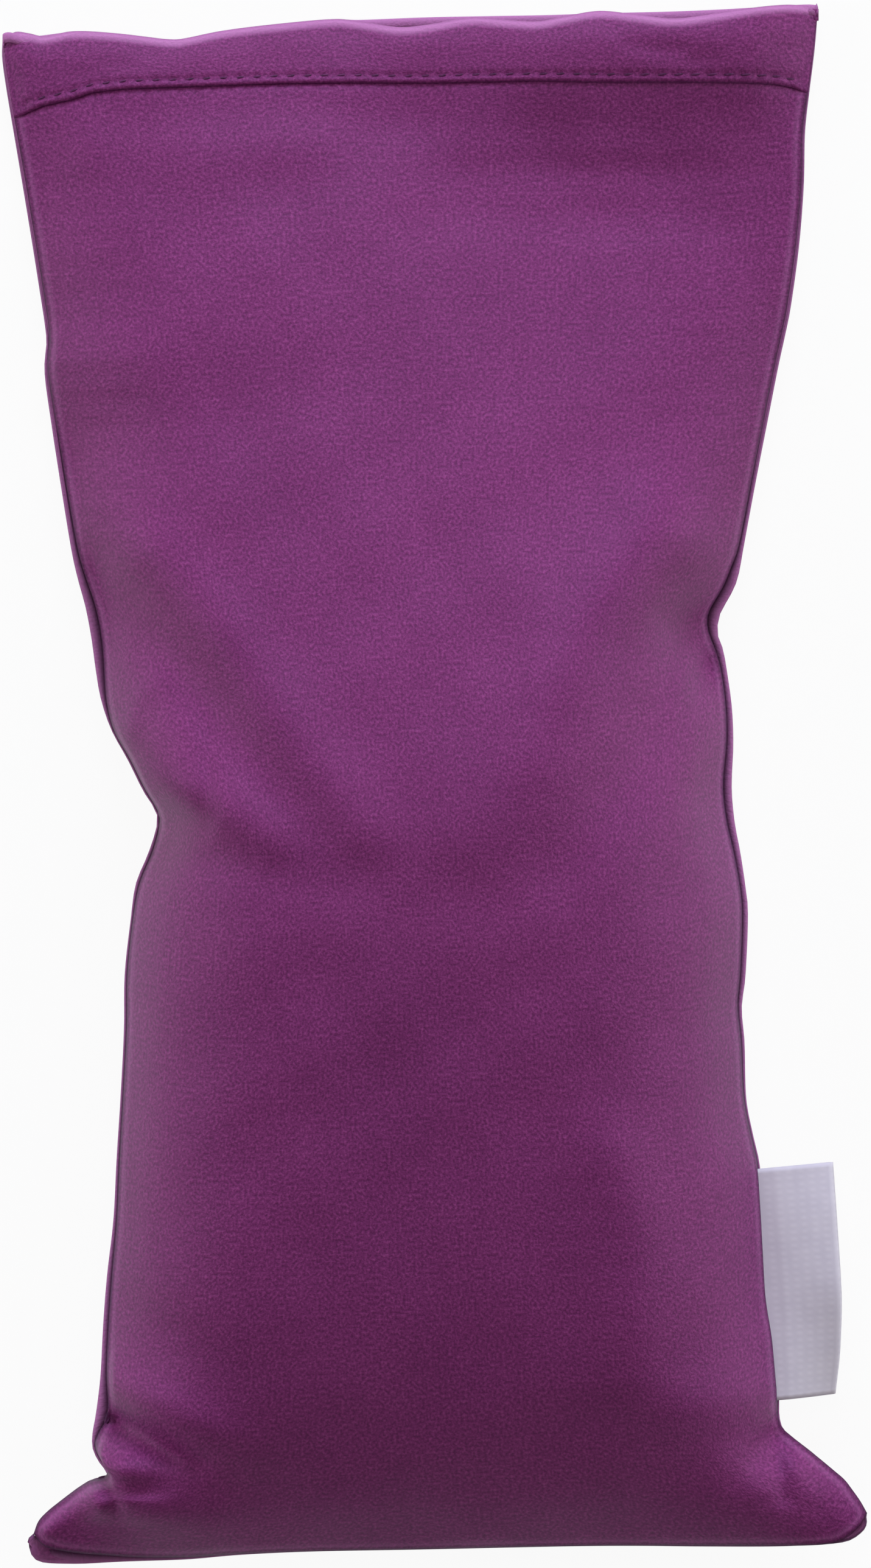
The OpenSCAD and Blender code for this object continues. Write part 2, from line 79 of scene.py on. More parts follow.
RIGHT_SEAM = [
    (63.7, -107.6, -0.5), (63.3, -106.6, -0.4), (62.2, -105.2, -0.2), (60.7, -103.0, 0),
    (58.2, -100.8, 0.2), (55.4, -98.5, 0.2), (52.7, -96.4, 0.2), (51.0, -94.8, 0.2),
    (50.5, -92.8, 0.2), (50.5, -90.3, 0.2), (50.3, -87.6, 0.2), (49.8, -81.7, 0.2),
    (48.9, -75.9, 0.3), (48.5, -69.6, 0.3), (48.1, -62.4, 0.3), (47.6, -56.1, 0.3),
    (46.6, -51.6, 0.3), (45.6, -46.2, 0.3), (45.2, -38.0, 0.5), (44.7, -32.8, 0.6),
    (45.1, -28.1, 0.8), (45.4, -19.1, 0.9), (45.0, -14.7, 0.9), (44.1, -9.8, 1.1),
    (43.1, -5.3, 1.3), (42.6, -0.2, 1.4), (43.1, 6.1, 1.1), (43.0, 11.5, 1.0),
    (42.3, 16.8, 1.0), (41.4, 20.1, 1.4), (40.4, 22.6, 1.6), (40.4, 25.2, 2.0),
    (41.5, 27.3, 2.0), (42.7, 29.3, 1.9), (43.6, 31.6, 1.7), (44.9, 35.1, 0.9),
    (46.7, 44.1, 0.8), (48.5, 53.1, 0.8), (50.3, 62.1, 0.8), (51.3, 66.6, 0.8),
    (52.2, 71.1, 0.8), (53.5, 80.0, 0.7), (54.3, 89.0, 0.6), (54.5, 96.7, 0.6),
    (55.2, 102.5, 0.5), (55.8, 107.1, 0.5), (56.2, 110.7, 0.5), (56.7, 114.6, 0.2)]
BOTTOM_SEAM = [
    (-59.3, -110.6, 0.6), (-58.4, -111.9, 1.5), (-56.8, -112.7, 2.9), (-52.6, -113.4, 2.5),
    (-48.2, -113.7, 1.8), (-43.6, -114.0, 1.1), (-36.6, -114.0, 0.7), (-28.7, -113.5, 0.5),
    (-17.9, -113.1, 0.4), (-1.4, -112.8, 0.4), (12.1, -112.5, 0.4), (25.6, -112.3, 0.3),
    (39.8, -112.4, 0.3), (52.6, -112.4, 0.2), (58.7, -112.0, -0.2), (61.2, -110.7, -0.4),
    (62.8, -109.2, -0.5), (63.7, -107.6, -0.5)]
FRONT_LIP = [
    (-64.0, 109.9), (-63.6, 110.5), (-61.6, 111.0), (-58.3, 110.3), (-53.8, 111.0), (-47.9, 110.7),
    (-41.4, 109.9), (-38.0, 109.7), (-31.4, 111.0), (-23.2, 112.0), (-14.9, 112.7), (-10.7, 112.2),
    (-5.3, 111.4), (-0.5, 111.8), (5.3, 112.7), (9.9, 112.3), (15.2, 112.0), (19.3, 112.8),
    (24.2, 113.6), (29.2, 113.1), (35.1, 112.4), (40.9, 113.1), (46.3, 114.0), (52.6, 114.8),
    (56.7, 114.6)]
BACK_LIP = [
    (-64.0, 109.9), (-63.4, 110.3), (-61.4, 110.7), (-58.3, 110.1), (-53.8, 110.7), (-47.9, 110.4),
    (-41.4, 109.6), (-38.0, 109.5), (-31.4, 110.7), (-23.2, 111.8), (-14.9, 112.6), (-10.7, 112.6),
    (0.0, 113.0), (16.6, 113.3), (24.2, 113.6), (34.6, 113.8), (44.0, 114.2), (52.6, 114.8),
    (56.7, 114.6)]
CURVE_STEPS = 14
PATH_POINTS = 900


def smooth_path(knots):
    """Points spread evenly along a smooth line through the knots."""
    k = np.asarray(knots, float)
    k = np.vstack([2 * k[0] - k[1], k, 2 * k[-1] - k[-2]])
    u = np.linspace(0, 1, CURVE_STEPS, endpoint=False)[:, None]
    spans = [
        b + (c - a) * u / 2 + (a - 2.5 * b + 2 * c - d / 2) * u**2 + (1.5 * (b - c) + (d - a) / 2) * u**3
        for a, b, c, d in zip(k, k[1:], k[2:], k[3:])]
    line = np.vstack([*spans, k[-2:-1]])
    run = np.concatenate([[0], np.cumsum(np.linalg.norm(np.diff(line[:, :2], axis=0), axis=1))])
    at = np.linspace(0, run[-1], PATH_POINTS)
    return np.stack([np.interp(at, run, column) for column in line.T], 1)


def path_length(path):
    return float(np.linalg.norm(np.diff(path[:, :2], axis=0), axis=1).sum())


left_path, right_path = smooth_path(LEFT_SEAM), smooth_path(RIGHT_SEAM)
bottom_path = smooth_path(BOTTOM_SEAM)
front_lip, back_lip = smooth_path(FRONT_LIP), smooth_path(BACK_LIP)
for name, path in (("left", left_path), ("right", right_path), ("bottom", bottom_path), ("lip", front_lip)):
    print(f"{name} edge: {path_length(path):.1f} mm")

# %% [markdown]
# ## From the flat cut to the outline
# A panel was cut flat, about 122 by 232 mm, so every point of the cloth has two numbers: s, its share of the
# width, and t, its share of the length. A Coons patch turns (s, t) into a place inside the four edge lines.
# Plain Coons patches carry each notch of the edge right across the cloth. Here only smoothed edges go into
# the patch, and the notches are added back near the edge, where real folds stay too.

# %% A patch between four edges
FLAT_W, FLAT_L = 122.0, 232.0
EDGE_SMOOTH, SMOOTH_REACH = 0.09, 3
EDGE_REACH = 17.0


def smoothed(path):
    """The path without its small notches, with its two ends kept."""
    p, n = path[:, :2], len(path)
    reach = int(SMOOTH_REACH * EDGE_SMOOTH * n)
    weight = np.exp(-0.5 * (np.arange(-reach, reach + 1) / (EDGE_SMOOTH * n)) ** 2)
    weight /= weight.sum()
    padded = np.vstack([2 * p[0] - p[reach:0:-1], p, 2 * p[-1] - p[-2:-reach - 2:-1]])
    return np.stack([np.convolve(column, weight, "valid") for column in padded.T], 1)


def at_share(path, share):
    """Points at the given shares of a path's length."""
    place = np.linspace(0, 1, len(path))
    return np.stack([np.interp(share, place, column) for column in path.T], 1)


def lay_out(s, t, lip):
    """Where the cloth's point (s, t) lies, seen from above, in mm."""
    edges = []
    for path, share, away in (
            (left_path, t, s * FLAT_W), (right_path, t, (1 - s) * FLAT_W),
            (bottom_path, s, t * FLAT_L), (lip, s, (1 - t) * FLAT_L)):
        soft = smoothed(path)
        step = at_share(path[:, :2] - soft, share) * np.exp(-(away / EDGE_REACH) ** 2)[:, None]
        edges.append((at_share(soft, share), step))
    (a, da), (b, db), (c, dc), (d, dd) = edges
    s, t = s[:, None], t[:, None]
    corners = ((1 - s) * (1 - t) * bottom_path[0, :2] + s * (1 - t) * bottom_path[-1, :2]
               + (1 - s) * t * lip[0, :2] + s * t * lip[-1, :2])
    return (1 - s) * a + s * b + (1 - t) * c + t * d - corners + da + db + dc + dd


half = np.array([0.5])
print("middle of the front, from above:", lay_out(half, half, front_lip)[0].round(1), "mm")

# %% [markdown]
# ## Heights
# The seams lie in one plane that falls gently from the bottom to the mouth. The front is crowned above it: it
# rises steeply from the bottom seam, is highest just below the waist, and falls to the hem. The CAD solid has
# a plainer crown. This one was fitted to how the light fades along the real cloth.

# %% Seam plane and crown
HALF_L = 113.75
SEAM_MID, SEAM_FALL = 6.1, 7.8 / (2 * HALF_L)
BOTTOM_SLOPE, MORE_SLOPE = 0.023, 0.015
CROWN = [
    (-HALF_L, 0), (-110, 5.0), (-104, 11.5), (-96, 17.5), (-86, 22.5), (-72, 26.8), (-52, 30.4),
    (-30, 33.2), (-20, 33.9), (-10, 33.9), (0, 32.8), (10, 30.6), (20, 28.0), (40, 22.5), (60, 17.2),
    (78, 12.2), (90, 8.0), (97, 5.2), (103, 4.0), (HALF_L, 1.4)]
CROWN_POWER = 2.8


def curve_at(knots, where):
    """A smooth line through (place, value) knots that doesn't overshoot them."""
    x, y = np.asarray(knots, float).T
    chord = np.diff(y) / np.diff(x)
    both = chord[1:] * chord[:-1]
    inner = np.where(both > 0, 2 * both / np.where(both > 0, chord[1:] + chord[:-1], 1), 0)
    slope = np.concatenate([chord[:1], inner, chord[-1:]])
    i = np.clip(np.searchsorted(x, where) - 1, 0, len(x) - 2)
    h = x[i + 1] - x[i]
    u = np.clip((where - x[i]) / h, 0, 1)
    return ((1 + 2 * u) * (1 - u) ** 2 * y[i] + u * (1 - u) ** 2 * h * slope[i]
            + u * u * (3 - 2 * u) * y[i + 1] + u * u * (u - 1) * h * slope[i + 1])


def seam_z(y):
    """Height of the seam plane, in mm."""
    return SEAM_MID - SEAM_FALL * y


def along(xy):
    """Place along the pillow's middle line: the mouth and the bottom slope a little across it."""
    slope = BOTTOM_SLOPE + MORE_SLOPE * (xy[:, 1] + HALF_L) / (2 * HALF_L)
    return np.clip(xy[:, 1] - slope * xy[:, 0], -HALF_L, HALF_L)


LIP_REACH, LIP_TAPER = 14.0, 12.0
LIP_ARCH, LEAST_GAP, MOST_GAP = 0.6, -0.3, 2.0


def lip_wave(s):
    """How far the front lip arches off the back one, in mm: it gapes where it falls short of it."""
    gap = np.interp(s, np.linspace(0, 1, PATH_POINTS), back_lip[:, 1] - front_lip[:, 1])
    taper = np.clip(LIP_TAPER * np.minimum(s, 1 - s), 0, 1)
    return LIP_ARCH * np.clip(gap, LEAST_GAP, MOST_GAP) * taper


def laid_front(s, t):
    """The front panel before its cloth is settled by the simulation."""
    xy = lay_out(s, t, front_lip)
    crown = curve_at(CROWN, along(xy)) * (1 - np.abs(2 * s - 1) ** CROWN_POWER)
    wave = lip_wave(s) * np.exp(-(((1 - t) * FLAT_L) / LIP_REACH) ** 2)
    return np.column_stack([xy, seam_z(xy[:, 1]) + crown + wave])


print("front at its middle, before settling:", laid_front(half, half)[0, 2].round(1), "mm high")

# %% [markdown]
# ## Settling the cloth
# The front could be left as a smooth formula, but cloth has its own way of bulging and folding where a
# seam is pulled in. So a coarse sheet is simulated: its springs remember the flat cut, its edges are pinned
# to the seams, and a little air pressure stands in for the seeds that push it up. The work is done ten times
# larger than life, because the cloth solver is steadier at the size of a pillowcase.

# %% Simulate the front panel
SIM_COLUMNS, SIM_ROWS = 60, 116
SIM_SCALE = 0.01
SIM_FRAMES = 45
AIR_PRESSURE = 6.0


def mesh_of(bm, name):
    """A mesh from a bmesh, which is freed."""
    mesh = bpy.data.meshes.new(name)
    bm.to_mesh(mesh)
    bm.free()
    return mesh


def points_of(mesh):
    """A mesh's points as rows of x, y and z."""
    co = np.empty(len(mesh.vertices) * 3)
    mesh.vertices.foreach_get("co", co)
    return co.reshape(-1, 3)


def put_in_scene(name, data):
    """A new object that holds a mesh, a lamp or a camera."""
    obj = bpy.data.objects.new(name, data)
    bpy.context.scene.collection.objects.link(obj)
    return obj


def grid_mesh(name, columns, rows):
    """A flat grid, with each point's s and t."""
    bm = bmesh.new()
    bmesh.ops.create_grid(bm, x_segments=columns, y_segments=rows, size=0.5)
    mesh = mesh_of(bm, name)
    share = np.clip(points_of(mesh)[:, :2] + 0.5, 0, 1)
    return mesh, share[:, 0], share[:, 1]


def settle(name, laid, flat, pressure):
    """The sheet's points as rows and columns, in mm, after its cloth has settled."""
    mesh, s, t = grid_mesh(name, SIM_COLUMNS, SIM_ROWS)
    start = laid(s, t)
    order = np.lexsort((s.round(5), t.round(5)))
    obj = put_in_scene(name, mesh)
    cut = np.column_stack([(s - 0.5) * flat[0], (t - 0.5) * flat[1], 0 * s]) * SIM_SCALE
    obj.shape_key_add(name="cut").data.foreach_set("co", cut.ravel())
    shown = obj.shape_key_add(name="laid")
    shown.data.foreach_set("co", (start * SIM_SCALE).ravel())
    shown.value = 1
    pin = obj.vertex_groups.new(name="seam")
    edge = np.flatnonzero((s < 1e-4) | (s > 1 - 1e-4) | (t < 1e-4) | (t > 1 - 1e-4))
    pin.add(edge.tolist(), 1.0, "REPLACE")
    cloth = obj.modifiers.new("cloth", "CLOTH")
    soft = cloth.settings
    soft.quality = 8
    soft.mass = 0.05
    soft.tension_stiffness = soft.compression_stiffness = 25
    soft.shear_stiffness = 8
    soft.bending_stiffness = 2
    soft.air_damping = 2
    soft.use_pressure = True
    soft.uniform_pressure_force = pressure
    soft.effector_weights.gravity = 0
    soft.vertex_group_mass = "seam"
    soft.rest_shape_key = obj.data.shape_keys.key_blocks["cut"]
    cloth.collision_settings.use_collision = False
    scene = bpy.context.scene
    for step in range(1, SIM_FRAMES + 1):
        scene.frame_set(step)
    seen = obj.evaluated_get(bpy.context.evaluated_depsgraph_get()).to_mesh()
    start = points_of(seen) / SIM_SCALE
    scene.frame_set(1)
    bpy.data.objects.remove(obj)
    bpy.data.meshes.remove(mesh)
    return start[order].reshape(SIM_ROWS + 1, SIM_COLUMNS + 1, 3)


front_sim = settle("front_settling", laid_front, (FLAT_W, FLAT_L), AIR_PRESSURE)
print("front crown after settling:", front_sim[..., 2].max().round(1), "mm")

# %% [markdown]
# The swollen sheet is checked against the known crown: each row across it is brought back to the crown's
# height in the middle, so that the pillow keeps its size. Loose seeds fill the flanks more than air does, so
# each row is then made fuller. Near the seams the cloth keeps the outline seen from above, because air would
# push it out over the seam, and seeds don't.

# %% Level the settled sheet
KEEP_EDGE, FREE_EDGE = 3.0, 16.0
FULLER_LEFT, FULLER_RIGHT = 1.9, 1.5
FULLER_FROM, FULLER_TO = 0.3, 0.7
LEAST_RISE, LEAST_SHARE, MOST_SHARE = 0.5, 0.5, 1.5


def edge_distance(s, t):
    """Cloth between a point and the nearest edge of its panel, in mm."""
    return np.minimum(np.minimum(s, 1 - s) * FLAT_W, np.minimum(t, 1 - t) * FLAT_L)


def levelled(sheet):
    """The settled sheet with its crown, its flanks and its outline set right."""
    rows, columns = sheet.shape[:2]
    grid = np.meshgrid(np.linspace(0, 1, rows), np.linspace(0, 1, columns), indexing="ij")
    t, s = [part.ravel() for part in grid]
    laid = laid_front(s, t).reshape(sheet.shape)
    middle = columns // 2
    rise = sheet[..., 2] - seam_z(sheet[..., 1])
    tall = np.maximum(laid[:, middle, 2] - seam_z(laid[:, middle, 1]), LEAST_RISE)
    share = np.clip(tall / np.maximum(rise[:, middle], LEAST_RISE), LEAST_SHARE, MOST_SHARE)
    part = rise * (share / tall)[:, None]
    fuller = np.interp(s, [FULLER_FROM, FULLER_TO], [FULLER_LEFT, FULLER_RIGHT]).reshape(rows, columns)
    part = np.maximum(part, 1 - (1 - np.clip(part, 0, 1)) ** fuller)
    free = np.clip((edge_distance(s, t) - KEEP_EDGE) / (FREE_EDGE - KEEP_EDGE), 0, 1)
    flat = laid[..., :2] + (sheet[..., :2] - laid[..., :2]) * free.reshape(rows, columns, 1)
    return np.dstack([flat, seam_z(flat[..., 1]) + part * tall[:, None]])


front_sim = levelled(front_sim)
print("front crown after levelling:", front_sim[..., 2].max().round(1), "mm")

# %% [markdown]
# ## The front panel
# The settled sheet is coarse, so a finer grid is laid on it with cubic interpolation, closer together near
# the seams where the cloth turns. A hollow under the right half of the hem and a pinch at the right notch
# take away a share of the height, and the right half of the lip is raised. The folds that a hand leaves in a
# pillow are then pressed in one by one: each has a width, a height at its first and its last point, and a
# line. It is a ridge where the height is positive and a crease where it is negative.

# %% A finer sheet with its folds
CROWD = 0.5
FOLDS = [
    # Dents of the left flank
    (11.0, -2.0, -0.6, [(-56.0, 48.0), (-46.0, 50.0), (-28.0, 55.5), (-15.0, 59.0)]),
    (7.0, 1.3, 0.4, [(-58.0, 64.5), (-44.0, 63.0)]),
    # Left notch, and its side of the V at the waist
    (6.5, -3.2, -0.6, [(-51.0, 31.0), (-38.5, 19.0), (-31.0, 9.0), (-21.5, -2.0), (-11.0, -13.0)]),
    (8.0, 2.0, 1.0, [(-42.0, 33.0), (-31.0, 21.0), (-22.5, 8.5), (-12.0, -6.0)]),
    (6.0, 3.0, 0.8, [(-42.0, -1.0), (-34.0, -3.0), (-25.0, -6.5)]),
    (11.0, 9.0, 0.5, [(-45.0, 0.5), (-33.0, 0.0)]),
    (2.5, 0.9, 0.5, [(-45.5, 7.5), (-43.5, 12.0), (-40.2, 15.5)]),
    (5.0, -1.4, -0.3, [(-42.0, -7.5), (-28.3, -11.0), (-16.0, -15.0)]),
    # Right side of the V, the swell below it, and the right notch
    (11.0, 4.0, 1.0, [(34.0, 36.0), (22.0, 23.0), (13.5, 4.0), (5.0, -7.0)]),
    (8.0, -2.8, -0.4, [(39.0, 20.0), (30.0, 4.0), (21.0, -9.0), (12.0, -17.0)]),
    (9.0, 1.2, 1.6, [(27.0, -55.0), (29.0, -70.0), (29.0, -86.0)]),
    (2.6, 1.6, 0.3, [(41.0, 23.5), (37.4, 17.0), (34.0, 9.5)]),
    (2.6, -1.4, -0.4, [(39.6, 17.0), (38.6, 12.5)]),
    # Lower left corner
    (5.5, 4.2, 0.6, [(-48.5, -88.0), (-38.0, -92.0), (-27.0, -96.5)]),
    (6.0, -1.0, -0.3, [(-44.0, -77.5), (-28.0, -85.0)]),
    (5.0, 5.0, 0.5, [(-50.0, -99.0), (-39.0, -100.5)]),
    (2.8, -5.5, -1.2, [(-48.5, -93.6), (-43.6, -95.4), (-35.0, -99.4)]),
    (7.0, 7.5, 1.6, [(-47.0, -103.4), (-43.0, -105.2), (-34.0, -108.0)]),
    (2.0, -3.0, -1.0, [(-48.0, -102.8), (-46.8, -106.8)]),
    (3.2, 1.4, 1.8, [(-57.0, -109.0), (-50.0, -105.2)]),
    # Lower right corner
    (6.0, 1.5, 0.4, [(49.0, -90.0), (40.0, -90.5), (30.0, -92.5)]),
    (3.4, -2.2, -0.3, [(52.0, -94.6), (44.3, -102.2)]),
    (1.8, -1.0, -0.5, [(50.4, -99.7), (51.1, -104.7)]),
    (3.0, 0.9, 0.4, [(53.0, -100.5), (55.0, -104.0)]),
    # Under the left half of the hem
    (7.0, 1.2, 1.0, [(-50.0, 94.0), (-18.0, 95.0)]),
]
# Faint lumps of seeds are waves: a height in mm, radians to the mm across and along, and a start
LUMPS = [(0.08, 0.31, 0.12, 0.4), (0.08, -0.18, 0.27, 2.1), (0.06, 0.22, -0.36, 4.0), (0.05, 0.41, 0.3, 1.2)]
FOLD_EDGE = 1.8
HOLLOW_UP = [
    (15, 0), (30, 0.04), (40, 0.09), (50, 0.15), (60, 0.23), (70, 0.35), (78, 0.47), (85, 0.6), (90, 0.6),
    (95, 0.36), (100, 0.08), (103, 0)]
HOLLOW_ACROSS = [(-14, 0), (5, 0.4), (20, 0.85), (30, 1), (56, 1)]
# A pinch has its place, its reach in mm and the share of the height that it takes
PINCHES = [(40.4, 24.0, 7.0, 0.3)]
LIP_RAISE, RAISE_REACH = [(0.45, 0), (0.7, 3.4), (0.92, 3.8), (1, 0)], 12.0


def crowd(share):
    """Even steps drawn closer together towards both ends."""
    return (1 - CROWD) * share + CROWD * (1 - np.cos(math.pi * share)) / 2


def sample_grid(grid, s, t):
    """Points on a smooth surface through the settled sheet's points."""
    wide = np.pad(grid, ((1, 1), (1, 1), (0, 0)), mode="reflect", reflect_type="odd")
    at = []
    for share, count in ((s, grid.shape[1] - 1), (t, grid.shape[0] - 1)):
        i = np.minimum((share * count).astype(int), count - 1)
        u = share * count - i
        at.append((i, ((2 * u - 1 - u * u) * u / 2, 1 + (3 * u - 5) * u * u / 2,
                       (1 + 4 * u - 3 * u * u) * u / 2, (u - 1) * u * u / 2)))
    (i, across), (j, up) = at
    return sum(wide[j + b, i + a] * (up[b] * across[a])[:, None] for a in range(4) for b in range(4))


def fold_height(xy):
    """Height that the folds add at each place, in mm."""
    total = sum(size * np.sin(xy @ np.array([across, up]) + start) for size, across, up, start in LUMPS)
    for width, first, last, line in FOLDS:
        line = np.asarray(line)
        near, along_it = np.full(len(xy), 1e9), np.zeros(len(xy))
        for i, (a, b) in enumerate(zip(line, line[1:])):
            run = b - a
            u = np.clip((xy - a) @ run / (run @ run), 0, 1)
            away = np.linalg.norm(xy - a - u[:, None] * run, axis=1)
            along_it = np.where(away < near, (i + u) / (len(line) - 1), along_it)
            near = np.minimum(near, away)
        total += (first + (last - first) * along_it) * np.exp(-(near / width) ** 2 * 2)
    return total


def front_cloth(s, t):
    """The front with its hollow, pinch, raised lip and folds."""
    p = sample_grid(front_sim, s, t)
    seam = seam_z(p[:, 1])
    hollow = curve_at(HOLLOW_UP, p[:, 1]) * curve_at(HOLLOW_ACROSS, p[:, 0])
    rise = (p[:, 2] - seam) * (1 - hollow)
    for x, y, reach, depth in PINCHES:
        rise *= 1 - depth * np.exp(-((p[:, 0] - x) ** 2 + (p[:, 1] - y) ** 2) / reach ** 2)
    rise += curve_at(LIP_RAISE, s) * np.exp(-(((1 - t) * FLAT_L) / RAISE_REACH) ** 2)
    p[:, 2] = seam + rise
    p[:, 2] += fold_height(p[:, :2]) * np.clip(edge_distance(s, t) / FOLD_EDGE, 0, 1)
    return p


print(len(FOLDS), "folds and dents in the front")

# %% [markdown]
# ## The hem
# At the mouth the cloth is turned over and stitched down, so a band of double cloth runs along the lip. Its
# lower edge is a soft rim that throws a thin shadow, and a stitch row pulls small dimples just above it. The
# panel sinks a little under the band and along its edge, so that the band looks turned, not stuck on.

# %% Hem height and the panel beneath it
HEM_EDGE = [
    (-62.1, 98.9), (-58.3, 100.5), (-53.8, 101.4), (-50.9, 102.4), (-45.9, 102.9), (-35.6, 103.2),
    (-23.2, 103.6), (-10.7, 103.7), (0.0, 103.6), (14.1, 103.8), (24.3, 103.6), (36.8, 103.7),
    (45.0, 103.7), (50.5, 103.6), (53.3, 103.2), (54.8, 102.6)]
HEM_STEPS = 121
LOOK_FROM, LOOK_POINTS = 0.9, 80
HEM_SINK, HEM_GROOVE, GROOVE_W = 0.3, 0.2, 0.6
SINK_SOFT, SINK_FADE = 0.8, 2.0


def measure_hem():
    """Cloth from the lip down to the hem's lower edge, in mm, at even steps across the panel."""
    edge_x, edge_y = np.array(HEM_EDGE).T
    t = np.linspace(LOOK_FROM, 1, LOOK_POINTS)
    tall = []
    for share in np.linspace(0, 1, HEM_STEPS):
        column = front_cloth(np.full(len(t), share), t)
        above = column[:, 1] - np.interp(column[:, 0], edge_x, edge_y)
        tall.append((1 - np.interp(0, above, t)) * FLAT_L)
    return np.array(tall)


hem_steps = measure_hem()
print(f"hem {hem_steps.min():.1f} to {hem_steps.max():.1f} mm high")


def hem_height(s):
    """Height of the hem at any share of the width, in mm of cloth."""
    return np.interp(s, np.linspace(0, 1, HEM_STEPS), hem_steps)


def front_panel(s, t):
    """The front as it lies under its hem."""
    p = front_cloth(s, t)
    below = (1 - t) * FLAT_L - hem_height(s)
    covered = np.clip(0.5 - below / SINK_SOFT, 0, 1)
    groove = np.exp(-(np.maximum(below, 0) / GROOVE_W) ** 2)
    sink = HEM_SINK * covered + HEM_GROOVE * groove
    sink *= np.clip(np.minimum(s, 1 - s) * FLAT_W / SINK_FADE, 0, 1)
    p[:, 2] -= sink
    return p


# %% [markdown]
# ## One way to make every sheet
# Each cloth piece is the same kind of thing: a flat grid, a function that says where each point of it lies, a
# UV map that keeps the flat cloth, so that a weave follows the folds, and a Solidify modifier for its
# thickness. A UV unit is a quarter of a metre on every piece, so one weave has one size everywhere. Two
# attributes tell the material where to paint shade into a seam and where to paint a highlight beside it.

# %% Sheet maker
UV_SPAN = 250.0
# The painted highlight rim lies this many seam-shade widths in from the edge
RIM_AWAY = 1.5


def painted_seam_light(dark, rim, painted_highlight):
    """Painted light of a panel: painted shade in its seams, and a painted highlight rim beside them; both
    widths in mm.
    """
    def painted_light(s, t):
        away = np.minimum(np.minimum(s, 1 - s) * FLAT_W, t * FLAT_L)
        light = np.clip(1 - np.abs(away - RIM_AWAY * dark) / rim, 0, 1)
        return np.clip(1 - away / dark, 0, 1), painted_highlight * light
    return painted_light


def make_sheet(name, place, flat, thick, columns, rows, spread=crowd, outward=True, painted_light=None):
    """A cloth piece from its grid; outward is False where its outer face looks down."""
    mesh, s, t = grid_mesh(name, columns, rows)
    s, t = spread(s), spread(t)
    co = place(s, t) * MM
    mesh.vertices.foreach_set("co", co.ravel())
    corner = np.empty(len(mesh.loops), int)
    mesh.loops.foreach_get("vertex_index", corner)
    uv = np.column_stack([s * flat[0], t * flat[1]]) / UV_SPAN
    mesh.uv_layers.new(name="cloth").data.foreach_set("uv", uv[corner].ravel())
    # Painted shade in the seams and a painted highlight beside them go to the material as two attributes
    if painted_light:
        for key, value in zip(("painted_seam_shade", "painted_rim_highlight"), painted_light(s, t)):
            mesh.attributes.new(key, "FLOAT", "POINT").data.foreach_set("value", value)
    if not outward:
        mesh.flip_normals()
    mesh.shade_smooth()
    obj = put_in_scene(name, mesh)
    solid = obj.modifiers.new("cloth thickness", "SOLIDIFY")
    solid.thickness = thick * MM
    solid.offset = -1
    solid.use_even_offset = False
    low, high = co[:, 2].min() / MM, co[:, 2].max() / MM
    print(f"{name}: {len(mesh.polygons)} faces, {low:.1f} to {high:.1f} mm high")
    return obj


CLOTH_T = 0.5
# The front gets painted shade in its seams and a thin painted highlight rim beside them
front_piece = make_sheet(
    "front_panel_cloth", front_panel, (FLAT_W, FLAT_L), CLOTH_T, columns=140, rows=250,
    painted_light=painted_seam_light(dark=0.7, rim=0.5, painted_highlight=0.4))

# %% [markdown]
# ## The back panel
# The back lies on the table, so it is flat in the middle and turns up to the seams, the last stretch almost
# upright. Weight inside makes it swell out under the seam, which shows from above as a thin strip beside it.
# No simulation is needed: what would settle it is the table, and that is known.

# %% Back panel
BASE = [
    (-HALF_L, 9.4), (-108.75, 4.7), (-101.75, 1.04), (-93.75, 0), (91.25, 0), (103.25, 0.65), (HALF_L, 0.65)]
FLAT_SHARE = 0.4
SWELL_REACH, SWELL_START = 12.0, 0.6
SWELL_SHARE = 1.15
SEAM_DROP = 0.5


def back_panel(s, t):
    """The back as it lies on the table."""
    xy = lay_out(s, t, back_lip)
    up = np.clip((np.abs(2 * s - 1) - FLAT_SHARE) / (1 - FLAT_SHARE), 0, 1) ** 2
    low = curve_at(BASE, along(xy))
    z = low + (seam_z(xy[:, 1]) - SEAM_DROP - low) * up
    for path, share, away, side in (
            (left_path, t, s * FLAT_W, (-1, 0)), (right_path, t, (1 - s) * FLAT_W, (1, 0)),
            (bottom_path, s, t * FLAT_L, (0, -1))):
        near = np.minimum(away / SWELL_REACH, 1)
        strip = SWELL_SHARE * at_share(path[:, 2:], share)[:, 0]
        swell = strip * (1 - np.exp(-away / SWELL_START)) * (1 - near) ** 2
        swell += SWELL_REACH * (near - near * near * (2 - near))
        xy = xy + swell[:, None] * np.array(side)
    return np.column_stack([xy, np.maximum(z, 0)])


# The back gets a thin painted seam shade and a wide painted highlight on the strip beside its seams
back_piece = make_sheet(
    "back_panel_cloth", back_panel, (FLAT_W, FLAT_L), CLOTH_T, columns=90, rows=170, outward=False,
    painted_light=painted_seam_light(dark=0.35, rim=3.5, painted_highlight=1.0))

# %% [markdown]
# ## The hem bands
# Each band starts at its lower edge, climbs to the lip, turns over it and goes a little way down inside. The
# rim at the lower edge is rounded, and the stitch row presses a row of dimples, one for each stitch, with the
# cloth puffed up between them.

